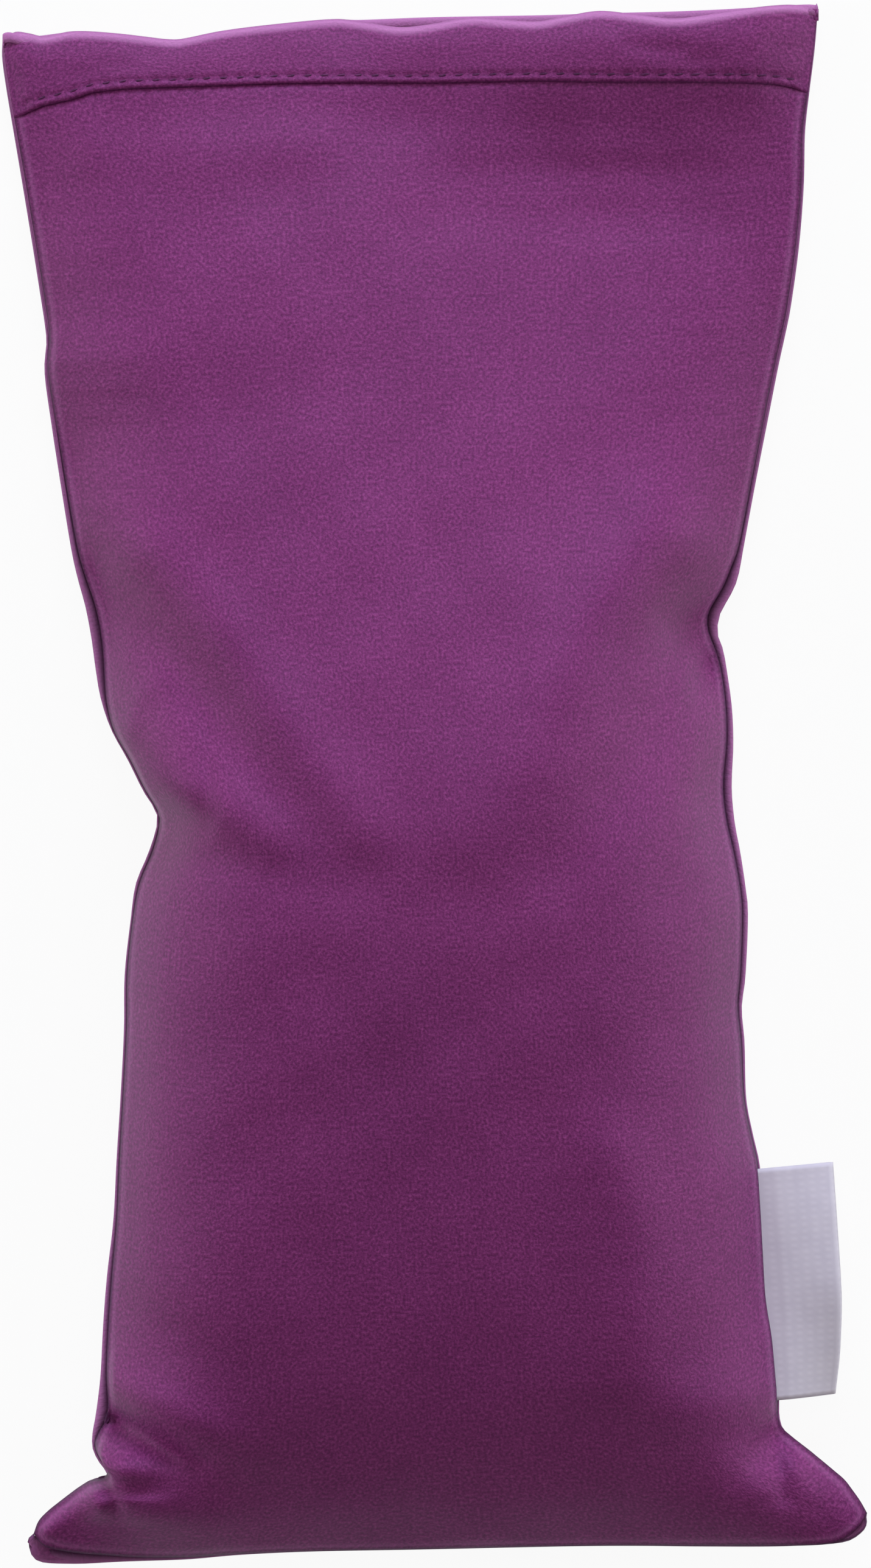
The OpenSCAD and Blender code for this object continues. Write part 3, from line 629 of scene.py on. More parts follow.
# %% Hem bands
HEM_T, BAND_T, BAND_CLEAR = 0.5, 0.45, 0.1
STITCH_UP, STITCH_PITCH = 1.2, 2.5
TURN_IN, TURN_ROOM = 3.0, 1.5 * HEM_T
HEM_RIM = 0.9
HEM_FLAT = 15.0
DIMPLE, DIMPLE_BEAT, DIMPLE_W = 0.28, 0.12, 0.45
PUFF, PUFF_UP, PUFF_W = 0.12, 0.4, 0.5
END_FADE, END_LEAST = 3.0, 0.25
LIP_BEND, LIP_DROP = 3.5, 0.7
FRONT_ROLL, BACK_ROLL = 0.8, 1.0
# Painted highlight along the hem's lip: how far inside it reaches on the front and the back, in mm
FRONT_HIGHLIGHT_REACH, BACK_HIGHLIGHT_REACH = 1.2, 6.0
# Where the painted lip highlight peaks, in mm past the lip, and its strength
LIP_TOP, HEM_HIGHLIGHT = 0.3, 1.6
ROW_FROM, ROW_TO, HEM_STITCHES = 0.03, 0.985, 46


def hem_length(s):
    """Cloth from the hem's lower edge, over the lip and down to its inner end, in mm."""
    return hem_height(s) + TURN_IN + TURN_ROOM


def hem_band(panel, side, radius):
    """Place function of a hem band on the outside of a panel; side is 1 on the front and -1 on the back."""
    def place(s, q):
        tall = hem_height(s)
        run = q * hem_length(s)
        up = np.minimum(run, tall)
        base = panel(s, 1 - (tall - up) / FLAT_L)
        rim = HEM_T * np.sqrt(1 - (1 - np.clip(up / HEM_RIM, 0, 1)) ** 2)
        beat = -np.cos(2 * math.pi * HEM_STITCHES * (s - ROW_FROM) / (ROW_TO - ROW_FROM))
        dimple = (DIMPLE + DIMPLE_BEAT * beat) * np.exp(-((up - STITCH_UP) / DIMPLE_W) ** 2)
        puff = PUFF * beat * np.exp(-((up - PUFF_UP) / PUFF_W) ** 2)
        lift = BAND_CLEAR + rim - dimple - puff
        over = np.clip(run - tall, 0, None)
        turn = np.minimum(over / radius, math.pi)
        inside = np.maximum(over - math.pi * radius, 0)
        mid = HEM_T + BAND_CLEAR - radius
        fold = over > 0
        lift = np.where(fold, mid + radius * np.cos(turn), lift)
        ahead = np.where(fold, radius * np.sin(turn) - inside, 0)
        ends = np.clip(np.minimum(s, 1 - s) * FLAT_W / END_FADE, END_LEAST, 1)
        bend = LIP_DROP * np.clip(1 - (tall - up) / LIP_BEND, 0, 1) ** 2 * (side > 0)
        base[:, 1] += ahead
        base[:, 2] += side * lift * ends - bend * ends
        return base
    return place


def hem_painted_highlight(reach):
    """Painted highlight on a hem where it turns over the lip, reaching as far inside as the reach in mm."""
    def painted_light(s, q):
        over = q * hem_length(s) - hem_height(s)
        return 0 * s, HEM_HIGHLIGHT * np.clip(1 - np.abs(over - LIP_TOP) / np.where(over > 0, reach, 1), 0, 1)
    return painted_light


def evenly(share):
    """Leaves a grid's steps even."""
    return share


front_band, back_band = hem_band(front_cloth, 1, FRONT_ROLL), hem_band(back_panel, -1, BACK_ROLL)
# Both hems get a painted highlight along their lips
front_hem = make_sheet(
    "front_hem_cloth", front_band, (FLAT_W, HEM_FLAT), BAND_T, columns=300, rows=34, spread=evenly,
    painted_light=hem_painted_highlight(FRONT_HIGHLIGHT_REACH))
back_hem = make_sheet(
    "back_hem_cloth", back_band, (FLAT_W, HEM_FLAT), BAND_T, columns=240, rows=24, spread=evenly,
    outward=False, painted_light=hem_painted_highlight(BACK_HIGHLIGHT_REACH))

# %% [markdown]
# ## Materials
# Every colour is written as the usual hex value and turned to linear light by one function, because shader
# sockets expect linear numbers. One small function adds a node, sets it and links it.

# %% Colour and node helpers
def linear(hex_colour):
    """Linear red, green, blue and alpha of a hex colour."""
    parts = [int(hex_colour[i:i + 2], 16) / 255 for i in (1, 3, 5)]
    return (*[c / 12.92 if c <= 0.04045 else ((c + 0.055) / 1.055) ** 2.4 for c in parts], 1)


def add(tree, kind, settings=None, inputs=None, stops=()):
    """Adds a node; an input is a plain value or another node's output, and stops colour a ramp."""
    made = tree.nodes.new(kind)
    for name, value in (settings or {}).items():
        setattr(made, name, value)
    for name, value in (inputs or {}).items():
        if isinstance(value, bpy.types.NodeSocket):
            tree.links.new(value, made.inputs[name])
        else:
            made.inputs[name].default_value = value
    for i, (place, colour) in enumerate(stops):
        # A new ramp has two stops already
        elements = made.color_ramp.elements
        stop = elements[i] if i < 2 else elements.new(place)
        stop.position, stop.color = place, linear(colour)
    return made


def new_material(name):
    """A material and its empty node tree."""
    material = bpy.data.materials.new(name)
    material.use_nodes = True
    tree = material.node_tree
    tree.nodes.clear()
    return material, tree


print("plum in linear light:", [round(c, 3) for c in linear("#782B68")[:3]])

# %% [markdown]
# ### Plum crepe satin
# The cover is a piece-dyed crepe-backed satin: hard-twisted threads give the dull pebbled side a fine random
# grain and a soft bloom at glancing angles. The real grain is about 0.35 mm, too fine for a picture of this
# size, so it is drawn coarser, at 0.48 mm. Slubs are faint uneven threads, and clouds a slow drift of the
# dye.

# %% Cover cloth
CREPE_GRAIN, CREPE_SLUB, CREPE_CLOUD = 0.48, 2.5, 22.0
SLUB_SHARE, CLOUD_SHARE = 0.12, 0.15
# Strengths of the painted highlight and of the painted seam shade
HIGHLIGHT_SHARE, DARK_SHARE = 0.55, 0.75
CREPE_RELIEF = 0.3


def plum_crepe():
    """Dull plum cloth with a pebbled grain, a painted highlight on hems and rims, and painted shade in its
    seams.
    """
    material, tree = new_material("plum crepe satin, woven and dyed")
    uv = add(tree, "ShaderNodeUVMap", {"uv_map": "cloth"}).outputs["UV"]
    grain = add(tree, "ShaderNodeTexNoise", {}, {
        "Vector": uv, "Scale": UV_SPAN / CREPE_GRAIN, "Detail": 2.0, "Roughness": 0.6})
    drawn = add(tree, "ShaderNodeMapping", {}, {"Vector": uv, "Scale": (1, 0.7, 1)})
    slub = add(tree, "ShaderNodeTexNoise", {}, {
        "Vector": drawn.outputs["Vector"], "Scale": UV_SPAN / CREPE_SLUB, "Detail": 3.0, "Roughness": 0.55})
    cloud = add(tree, "ShaderNodeTexNoise", {}, {
        "Vector": uv, "Scale": UV_SPAN / CREPE_CLOUD, "Detail": 2.0, "Roughness": 0.5})
    pebble = add(tree, "ShaderNodeMath", {"operation": "MULTIPLY_ADD"}, {
        0: slub.outputs["Fac"], 1: SLUB_SHARE, 2: grain.outputs["Fac"]})
    clouded = add(tree, "ShaderNodeMath", {"operation": "MULTIPLY_ADD"}, {
        0: cloud.outputs["Fac"], 1: CLOUD_SHARE, 2: pebble.outputs["Value"]})
    dye = add(tree, "ShaderNodeValToRGB", {}, {"Fac": clouded.outputs["Value"]}, [
        (0.47, "#611E54"), (0.66, "#782B68"), (0.87, "#933F80")])
    # Painted highlight: hems and rims are drawn a lighter, pinker plum where light catches them
    rim = add(tree, "ShaderNodeAttribute", {"attribute_name": "painted_rim_highlight"})
    pale = add(tree, "ShaderNodeMath", {"operation": "MULTIPLY"}, {0: rim.outputs["Fac"], 1: HIGHLIGHT_SHARE})
    painted_highlight = add(tree, "ShaderNodeMix", {"data_type": "RGBA"}, {
        0: pale.outputs["Value"], 6: dye.outputs["Color"], 7: linear("#C884BE")})
    # Painted shade: where two panels meet, the shade down in the seam is painted almost black
    dark = add(tree, "ShaderNodeAttribute", {"attribute_name": "painted_seam_shade"})
    deep = add(tree, "ShaderNodeMath", {"operation": "MULTIPLY"}, {0: dark.outputs["Fac"], 1: DARK_SHARE})
    dye_with_seam_shade = add(tree, "ShaderNodeMix", {"data_type": "RGBA"}, {
        0: deep.outputs["Value"], 6: painted_highlight.outputs[2], 7: linear("#260B22")})
    bump = add(tree, "ShaderNodeBump", {}, {
        "Height": pebble.outputs["Value"], "Strength": 0.45, "Distance": CREPE_RELIEF * MM})
    # A weak gleam and a trace of violet sheen are the bloom at glancing angles
    skin = add(tree, "ShaderNodeBsdfPrincipled", {}, {
        "Base Color": dye_with_seam_shade.outputs[2], "Normal": bump.outputs["Normal"], "Roughness": 0.6, "IOR": 1.46,
        "Specular IOR Level": 0.36, "Specular Tint": linear("#E6D8FF"), "Sheen Weight": 0.05,
        "Sheen Roughness": 0.4, "Sheen Tint": linear("#CBB2FF")})
    add(tree, "ShaderNodeOutputMaterial", {}, {"Surface": skin.outputs["BSDF"]})
    return material


cover_cloth = plum_crepe()
for piece in (front_piece, back_piece, front_hem, back_hem):
    piece.data.materials.append(cover_cloth)
print("cover cloth on 4 pieces")

# %% [markdown]
# ## Stitches
# A lockstitch shows as short, slightly slanted dashes of thread. Each dash is a small sphere stretched along
# the row. There are several hundred of them, so each has only a few dozen faces, and one row is one piece.

# %% Stitch rows
STITCH_L, THREAD_D = 1.8, 0.42
STITCH_SIDES, STITCH_RINGS = 8, 5
STITCH_SLANT, LOOK_AHEAD = 0.12, 0.3


def stitch_row(name, rows, slant=STITCH_SLANT, count=None):
    """Thread dashes along one or more lines of points in mm, each point with the way up at that place."""
    bm = bmesh.new()
    for line, up in rows:
        run = np.concatenate([[0], np.cumsum(np.linalg.norm(np.diff(line, axis=0), axis=1))])
        dashes = count or int(run[-1] / STITCH_PITCH)
        for k in range(dashes):
            at = run[-1] * (k + 0.5) / dashes
            a, b, c, n = [
                Vector([np.interp(at + step, run, column) for column in rows_of.T])
                for step, rows_of in ((-LOOK_AHEAD, line), (LOOK_AHEAD, line), (0, line), (0, up))]
            ahead = (b - a).normalized()
            n = (n - n.dot(ahead) * ahead).normalized()
            side = n.cross(ahead)
            ahead, side = ahead + slant * side, side - slant * ahead
            axes = (ahead * STITCH_L / 2, side * THREAD_D / 2, n * THREAD_D / 2)
            place = Matrix(axes).transposed().to_4x4()
            place.translation = c
            bmesh.ops.create_uvsphere(
                bm, u_segments=STITCH_SIDES, v_segments=STITCH_RINGS, radius=1,
                matrix=Matrix.Scale(MM, 4) @ place @ Matrix.Rotation(math.pi / 2, 4, "Y"))
    mesh = mesh_of(bm, name)
    mesh.shade_smooth()
    print(f"{name}: {len(mesh.polygons) // (STITCH_SIDES * STITCH_RINGS)} stitches")
    return put_in_scene(name, mesh)


def same_way(count, up=(0, 0, 1)):
    """One way up for every point of a line."""
    return np.tile(np.asarray(up, float), (count, 1))


ROW_POINTS = 400
row_s = np.linspace(ROW_FROM, ROW_TO, ROW_POINTS)
hem_thread = []
for name, band, side in (("front_hem_thread", front_band, 1), ("back_hem_thread", back_band, -1)):
    line = band(row_s, STITCH_UP / hem_length(row_s))
    hem_thread.append(stitch_row(name, [(line, same_way(ROW_POINTS, (0, 0, side)))], count=HEM_STITCHES))
front_thread, back_thread = hem_thread

# %% [markdown]
# The side and bottom seams are sewn from inside, so their stitches lie between the two panels and only just
# show at the edge. They are straight dashes at the same pitch.

# %% Seam stitches
SEAM_INSET, SEAM_TILT = 0.4, 0.4
SEAM_FROM, SEAM_TO = int(0.02 * PATH_POINTS), int(0.985 * PATH_POINTS)


def seam_line(path, outward):
    """Points of a seam's stitches, a little inside its edge and between its two panels."""
    part = path[SEAM_FROM:SEAM_TO, :2] - np.array(outward) * SEAM_INSET
    return np.column_stack([part, seam_z(part[:, 1]) - SEAM_DROP / 2])


seam_thread = []
for name, path, outward in (
        ("left_seam_thread", left_path, (-1, 0)), ("right_seam_thread", right_path, (1, 0)),
        ("bottom_seam_thread", bottom_path, (0, -1))):
    line = seam_line(path, outward)
    seam_thread.append(stitch_row(name, [(line, same_way(len(line), (*outward, SEAM_TILT)))], slant=0.0))

# %% [markdown]
# ## The side label
# The label is a short woven ribbon folded in half, with both ends caught in the right seam. It is made as one
# strip that runs out from the seam, turns at a soft fold and comes back under itself. It droops a little at
# its two ends, so its outer edge looks curved from above.

# %% Label
LABEL_LOW, LABEL_HIGH = (49.0, -91.1), (46.2, -57.0)
LABEL_REACH = [(0, 9.6), (0.2, 10.8), (0.45, 11.6), (0.7, 11.8), (1, 12.0)]
LABEL_DROOP = [(0, -4.2), (0.25, -2.0), (0.5, -0.8), (0.75, -1.0), (1, -2.4)]
LABEL_GAP, LABEL_T = 0.5, 0.22
LABEL_TURN = 2.4 * LABEL_GAP
LEAF_OPENS, LEAF_LEAST = 3, 0.2
DROOP_POWER = 1.6
RIPPLE, RIPPLE_UP, RIPPLE_OUT = 0.12, 9, 4
LABEL_FLAT = (34.3, 25.0)


def label_loop(s, q):
    """s runs up the seam, q from the seam out to the fold and back below."""
    low, high = np.array(LABEL_LOW), np.array(LABEL_HIGH)
    ahead = (high - low) / np.linalg.norm(high - low)
    out = np.array([ahead[1], -ahead[0]])
    root = low + s[:, None] * (high - low)
    reach = curve_at(LABEL_REACH, s)
    run = q * (2 * reach + LABEL_TURN)
    over = np.clip((run - reach) / LABEL_TURN, 0, 1) * math.pi
    far = np.where(run < reach, run, np.where(over < math.pi, reach, 2 * reach + LABEL_TURN - run))
    share = np.clip(far / reach, 0, 1)
    leaf = LABEL_GAP * np.clip(share * LEAF_OPENS, LEAF_LEAST, 1)
    far = far + leaf * np.sin(over)
    height = seam_z(root[:, 1]) + leaf * np.cos(over) + curve_at(LABEL_DROOP, s) * share ** DROOP_POWER
    ripple = RIPPLE * np.sin(RIPPLE_UP * s + RIPPLE_OUT * share)
    return np.column_stack([root + far[:, None] * out, height + ripple * share])


label_piece = make_sheet(
    "label_ribbon_loop", label_loop, LABEL_FLAT, LABEL_T, columns=48, rows=60, spread=evenly)

# %% [markdown]
# ## The inner pillow
# Inside is a plain cotton pouch, two panels sewn round a flat margin and filled with seeds. It has to stay
# inside the cover, so its heights come from rays cast on to the cover's own cloth: a little under the front
# and a little over the back. Beside its seam the cotton puckers.

# %% Pouch
POUCH_LOW, POUCH_HIGH = -106.75, 93.75
POUCH_LONG = POUCH_HIGH - POUCH_LOW
POUCH_MID = [(POUCH_LOW, 0.7), (-60, 0.5), (-30, -0.3), (-5, 1), (22, -4.5), (45, -4), (POUCH_HIGH, -3.6)]
POUCH_HALF = [(POUCH_LOW, 43.5), (-60, 43.5), (-30, 41), (-5, 38), (22, 40.5), (45, 45), (POUCH_HIGH, 45)]
POUCH_SLOPE = 0.03
POUCH_GAP, BACK_GAP, LEAST_ROOM = 1.3, 1.9, 0.5
POUCH_T, SEWN_GAP = 0.4, 0.05
POUCH_MARGIN, SIDE_POWER, END_POWER = 4.0, 5, 9
PUCKER, PUCKER_UP, PUCKER_ACROSS, PUCKER_BEND, PUCKER_FADE = 0.5, 1.1, 0.9, 2, 4
RAY_FROM = 1.0
POUCH_FLAT = (96.0, 204.0)


def ray_heights(obj, xy, down):
    """Height at which a ray from above or below meets a cloth, in mm; nan where it misses."""
    bm = bmesh.new()
    bm.from_mesh(obj.data)
    tree = BVHTree.FromBMesh(bm)
    start, way = (RAY_FROM, Vector((0, 0, -1))) if down else (-RAY_FROM, Vector((0, 0, 1)))
    found = [tree.ray_cast(Vector((x * MM, y * MM, start)), way)[0] for x, y in xy]
    bm.free()
    return np.array([hit.z / MM if hit else math.nan for hit in found])


def pouch_outline(s, t):
    """Where the pouch's point (s, t) lies, seen from above, in mm."""
    v = POUCH_LOW + t * POUCH_LONG
    x = curve_at(POUCH_MID, v) + (2 * s - 1) * curve_at(POUCH_HALF, v)
    y = v + POUCH_SLOPE * x
    return np.column_stack([x, y])


def fullness(s, t, margin):
    """1 in the middle of the pouch, 0 along the flat margin round it."""
    half = curve_at(POUCH_HALF, POUCH_LOW + t * POUCH_LONG)
    a = np.clip(np.abs(2 * s - 1) * half / (half - margin), 0, 1)
    b = np.clip(np.abs(2 * t - 1) * POUCH_LONG / (POUCH_LONG - 2 * margin), 0, 1)
    return (1 - a ** SIDE_POWER) * (1 - b ** END_POWER)


def pouch_room(xy):
    """Highest and lowest place the pouch may reach at each point."""
    top, low = ray_heights(front_piece, xy, True), ray_heights(back_piece, xy, False)
    seam = seam_z(xy[:, 1])
    top = np.where(np.isnan(top), seam, top) - CLOTH_T - POUCH_GAP
    low = np.where(np.isnan(low), seam, low) + CLOTH_T + BACK_GAP
    return top, np.minimum(low, top - LEAST_ROOM)


def pouch_side(front):
    """Place function of the pouch's front or back."""
    def place(s, t):
        xy = pouch_outline(s, t)
        top, low = pouch_room(xy)
        seam = (top + low) / 2
        full = fullness(s, t, POUCH_MARGIN)
        near = np.clip(1 - full, 0, 1)
        wave = np.sin(PUCKER_UP * xy[:, 1] + PUCKER_BEND * np.sin(PUCKER_ACROSS * xy[:, 0]))
        pucker = PUCKER * near * wave * np.clip(PUCKER_FADE * full, 0, 1)
        bound, side = (top, 1) if front else (low, -1)
        z = seam + (bound - seam) * full + side * (SEWN_GAP + POUCH_T) - side * np.abs(pucker)
        return np.column_stack([xy, z])
    return place


pouch_front = make_sheet(
    "pouch_front_cloth", pouch_side(True), POUCH_FLAT, POUCH_T, columns=90, rows=180)
pouch_back = make_sheet(
    "pouch_back_cloth", pouch_side(False), POUCH_FLAT, POUCH_T, columns=90, rows=180, outward=False)

# %% [markdown]
# Its stitches run 2 mm inside the edge, on the flat margin: one piece for the two sides and the bottom, and
# one for the end that was sewn shut after filling.

# %% Pouch stitches
POUCH_STITCH_IN = 2.0
POUCH_MEAN_HALF = 42
EDGE_STEPS = 300


def pouch_stitch_line(s, t):
    """Points of a stitch row on the pouch's flat margin."""
    xy = pouch_outline(s, t)
    top, low = pouch_room(xy)
    return np.column_stack([xy, (top + low) / 2 + POUCH_T + SEWN_GAP])


side_in = POUCH_STITCH_IN / (2 * POUCH_MEAN_HALF)
end_in = POUCH_STITCH_IN / POUCH_LONG
steps = np.linspace(2 * end_in, 1 - 2 * end_in, EDGE_STEPS)
across = np.linspace(2 * side_in, 1 - 2 * side_in, EDGE_STEPS)
sewn = [(np.full(EDGE_STEPS, side_in), steps), (np.full(EDGE_STEPS, 1 - side_in), steps),
        (across, np.full(EDGE_STEPS, end_in))]
pouch_thread = stitch_row(
    "pouch_seam_thread", [(pouch_stitch_line(*row), same_way(EDGE_STEPS)) for row in sewn])
closing_thread = stitch_row(
    "pouch_closing_thread",
    [(pouch_stitch_line(across, np.full(EDGE_STEPS, 1 - end_in)), same_way(EDGE_STEPS))])

# %% [markdown]
# The seeds themselves are one closed lump. It starts as an icosphere, whose round disc is stretched to a
# square with soft corners, and its top and underside are drawn to just inside the pouch.

# %% Seeds
SEED_IN, SEED_MARGIN, SEED_GAP = 5.0, 6.0, 0.6
SEED_ROUND, SEED_DETAIL = 4, 6


def seed_lump(name):
    """One closed lump that fills the pouch."""
    bm = bmesh.new()
    bmesh.ops.create_icosphere(bm, subdivisions=SEED_DETAIL, radius=1)
    mesh = mesh_of(bm, name)
    a, b, c = points_of(mesh).T
    ring, most = np.hypot(a, b), np.maximum(np.maximum(abs(a), abs(b)), 1e-9)
    wide = np.clip(np.column_stack([a, b]) * (ring / most)[:, None], -1, 1)
    s = 0.5 + wide[:, 0] / 2 * (1 - SEED_IN / POUCH_MEAN_HALF)
    t = 0.5 + wide[:, 1] / 2 * (1 - 2 * SEED_IN / POUCH_LONG)
    xy = pouch_outline(s, t)
    top, low = pouch_room(xy)
    seam = (top + low) / 2
    full = fullness(s, t, SEED_MARGIN) * np.clip(abs(c) * SEED_ROUND, 0, 1)
    above, below = np.maximum(top - SEED_GAP - seam, 0), np.maximum(seam - low - SEED_GAP, 0)
    z = seam + np.where(c > 0, above, -below) * full
    mesh.vertices.foreach_set("co", (np.column_stack([xy, z]) * MM).ravel())
    mesh.shade_smooth()
    print(f"{name}: {len(mesh.polygons)} faces")
    return put_in_scene(name, mesh)


seed_piece = seed_lump("seed_bulk")

# %% [markdown]
# ### The other finishes
# Polyester sewing thread is spun and slightly shiny. The label is a taffeta-woven ribbon, grey-white, with
# fine ribs across it. The pouch is unbleached cotton in plain weave. The seeds are glossy brown flax, drawn
# about 3 mm long.

# %% Thread, ribbon, cotton and seeds
THREAD_TWIST, RIBBON_RIB, COTTON_YARN, SEED_LONG = 0.4, 0.5, 0.6, 3.2
THREAD_RELIEF, SEED_RELIEF = 0.05, 1.2
WEAVE_SHARE, FLECK_YARNS = 0.4, 6


def spun_thread(name, dark, light):
    """Spun sewing thread: a soft gleam, with light and dark turns of the ply."""
    material, tree = new_material(name)
    place = add(tree, "ShaderNodeTexCoord").outputs["Object"]
    ply = add(tree, "ShaderNodeTexNoise", {}, {
        "Vector": place, "Scale": 1 / (THREAD_TWIST * MM), "Detail": 1.0}).outputs["Fac"]
    dye = add(tree, "ShaderNodeValToRGB", {}, {"Fac": ply}, [(0.35, dark), (0.65, light)])
    bump = add(tree, "ShaderNodeBump", {}, {"Height": ply, "Strength": 0.4, "Distance": THREAD_RELIEF * MM})
    skin = add(tree, "ShaderNodeBsdfPrincipled", {}, {
        "Base Color": dye.outputs["Color"], "Normal": bump.outputs["Normal"], "Roughness": 0.6,
        "Specular IOR Level": 0.3})
    add(tree, "ShaderNodeOutputMaterial", {}, {"Surface": skin.outputs["BSDF"]})
    return material


def woven_cloth(name, yarn, colours, roughness, sheen, aspect=1.0, relief=0.12):
    """Plain weave from two waves at right angles, on the cloth's own UV map; yarn and relief are in mm."""
    material, tree = new_material(name)
    uv = add(tree, "ShaderNodeUVMap", {"uv_map": "cloth"}).outputs["UV"]
    # At this scale one wave, a light and a dark half, spans two yarns
    waves = UV_SPAN / yarn / 20 * math.pi
    warp, weft = [
        add(tree, "ShaderNodeTexWave", {"bands_direction": way}, {
            "Vector": uv, "Scale": scale, "Distortion": 0.6, "Detail": 1.0, "Detail Scale": 2.0})
        for way, scale in (("X", waves), ("Y", waves * aspect))]
    over = add(tree, "ShaderNodeMath", {"operation": "MULTIPLY"}, {
        0: warp.outputs["Fac"], 1: weft.outputs["Fac"]}).outputs["Value"]
    fleck = add(tree, "ShaderNodeTexNoise", {}, {
        "Vector": uv, "Scale": UV_SPAN / (FLECK_YARNS * yarn), "Detail": 3.0})
    tone = add(tree, "ShaderNodeMath", {"operation": "MULTIPLY_ADD"}, {
        0: over, 1: WEAVE_SHARE, 2: fleck.outputs["Fac"]})
    dye = add(tree, "ShaderNodeValToRGB", {}, {"Fac": tone.outputs["Value"]}, colours)
    bump = add(tree, "ShaderNodeBump", {}, {"Height": over, "Strength": 0.5, "Distance": relief * MM})
    skin = add(tree, "ShaderNodeBsdfPrincipled", {}, {
        "Base Color": dye.outputs["Color"], "Normal": bump.outputs["Normal"], "Roughness": roughness,
        "Sheen Weight": sheen, "Sheen Roughness": 0.4})
    add(tree, "ShaderNodeOutputMaterial", {}, {"Surface": skin.outputs["BSDF"]})
    return material


def flax_seeds():
    """Flax seed: flat glossy drops, each its own brown, from cells stretched along the pouch."""
    material, tree = new_material("flax seed, loose")
    place = add(tree, "ShaderNodeTexCoord").outputs["Object"]
    drawn = add(tree, "ShaderNodeMapping", {}, {"Vector": place, "Scale": (1.6, 1, 1.6)})
    cells = add(tree, "ShaderNodeTexVoronoi", {"feature": "F1"}, {
        "Vector": drawn.outputs["Vector"], "Scale": 1 / (SEED_LONG * MM)})
    brown = add(tree, "ShaderNodeValToRGB", {}, {"Fac": cells.outputs["Color"]}, [
        (0.1, "#5A3418"), (0.5, "#7B4B22"), (0.9, "#A06A35")])
    bump = add(tree, "ShaderNodeBump", {"invert": True}, {
        "Height": cells.outputs["Distance"], "Strength": 0.9, "Distance": SEED_RELIEF * MM})
    skin = add(tree, "ShaderNodeBsdfPrincipled", {}, {
        "Base Color": brown.outputs["Color"], "Normal": bump.outputs["Normal"], "Roughness": 0.3})
    add(tree, "ShaderNodeOutputMaterial", {}, {"Surface": skin.outputs["BSDF"]})
    return material


plum_thread = spun_thread("plum polyester thread, spun", "#43133F", "#61245A")
cotton_thread = spun_thread("cotton thread, spun", "#CDBFA2", "#EADFC8")
ribbon = woven_cloth("grey-white taffeta ribbon, woven", RIBBON_RIB,
                     [(0.2, "#C8C3D1"), (1.0, "#D4CFDB")], 0.5, 0.1, aspect=0.6, relief=0.02)
cotton = woven_cloth("unbleached cotton, plain weave", COTTON_YARN,
                     [(0.3, "#CDBE9F"), (0.6, "#E2D6BC"), (0.95, "#EFE6D2")], 0.85, 0.15)
for piece, material in (
        (front_thread, plum_thread), (back_thread, plum_thread), *[(row, plum_thread) for row in seam_thread],
        (label_piece, ribbon), (pouch_front, cotton), (pouch_back, cotton), (pouch_thread, cotton_thread),
        (closing_thread, cotton_thread), (seed_piece, flax_seeds())):
    piece.data.materials.append(material)
print(len(bpy.data.materials), "materials in the file")

# %% [markdown]
# ## Which piece stands for which solid
# Each piece rides on the body of the CAD solid it replaces, and that solid is hidden. When the inner pillow
# is drawn out, the front of the cover falls flat; the front, its hem band and its hem thread get meshes of
# their own.

# %% Ride and replace
left_thread, right_thread, bottom_thread = seam_thread
STAND_INS = [
    (front_piece, "cover", "cover_cloth", "cover_front_panel"),
    (back_piece, "cover", "cover_cloth", "cover_back_panel"),
    (front_hem, "cover", "cover_cloth", "front_hem_band"),
    (back_hem, "cover", "cover_cloth", "back_hem_band"),
    (front_thread, "cover", "cover_thread", "front_hem_stitching"),
    (back_thread, "cover", "cover_thread", "back_hem_stitching"),
    (left_thread, "cover", "cover_thread", "left_seam_stitching"),
    (right_thread, "cover", "cover_thread", "right_seam_stitching"),
    (bottom_thread, "cover", "cover_thread", "bottom_seam_stitching"),
    (label_piece, "label_flap", "label_ribbon", "side_label"),
    (pouch_front, "inner_pillow", "pouch_cotton", "pouch_front_panel"),
    (pouch_back, "inner_pillow", "pouch_cotton", "pouch_back_panel"),
    (pouch_thread, "inner_pillow", "pouch_thread", "pouch_seam_stitching"),
    (closing_thread, "inner_pillow", "pouch_thread", "pouch_closing_stitching"),
    (seed_piece, "inner_pillow", "seeds", "seed_fill"),
]
for piece, body, slot, stands_for in STAND_INS:
    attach(piece, body)
    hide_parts(stands_for)
for piece in (front_piece, front_hem, front_thread):
    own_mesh(piece)

print(len(STAND_INS), "pieces stand for", len(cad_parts), "solids")

# %% [markdown]
# ## Floor, light and camera
# The pillow is seen from straight above on a white ground. The floor is a large pale sheet. Most of what the
# camera sees of it is plain white, which keeps the ground white without more light on the cloth, and the rest
# still takes the pillow's soft shadow. A wide soft lamp shines from beyond the mouth, so the far half is
# lighter.

# %% Floor
FLOOR_SIZE, FLOOR_DROP = 6.0, 0.2
PAPER_TOOTH, WHITE_SHARE = 10 / 3, 0.93


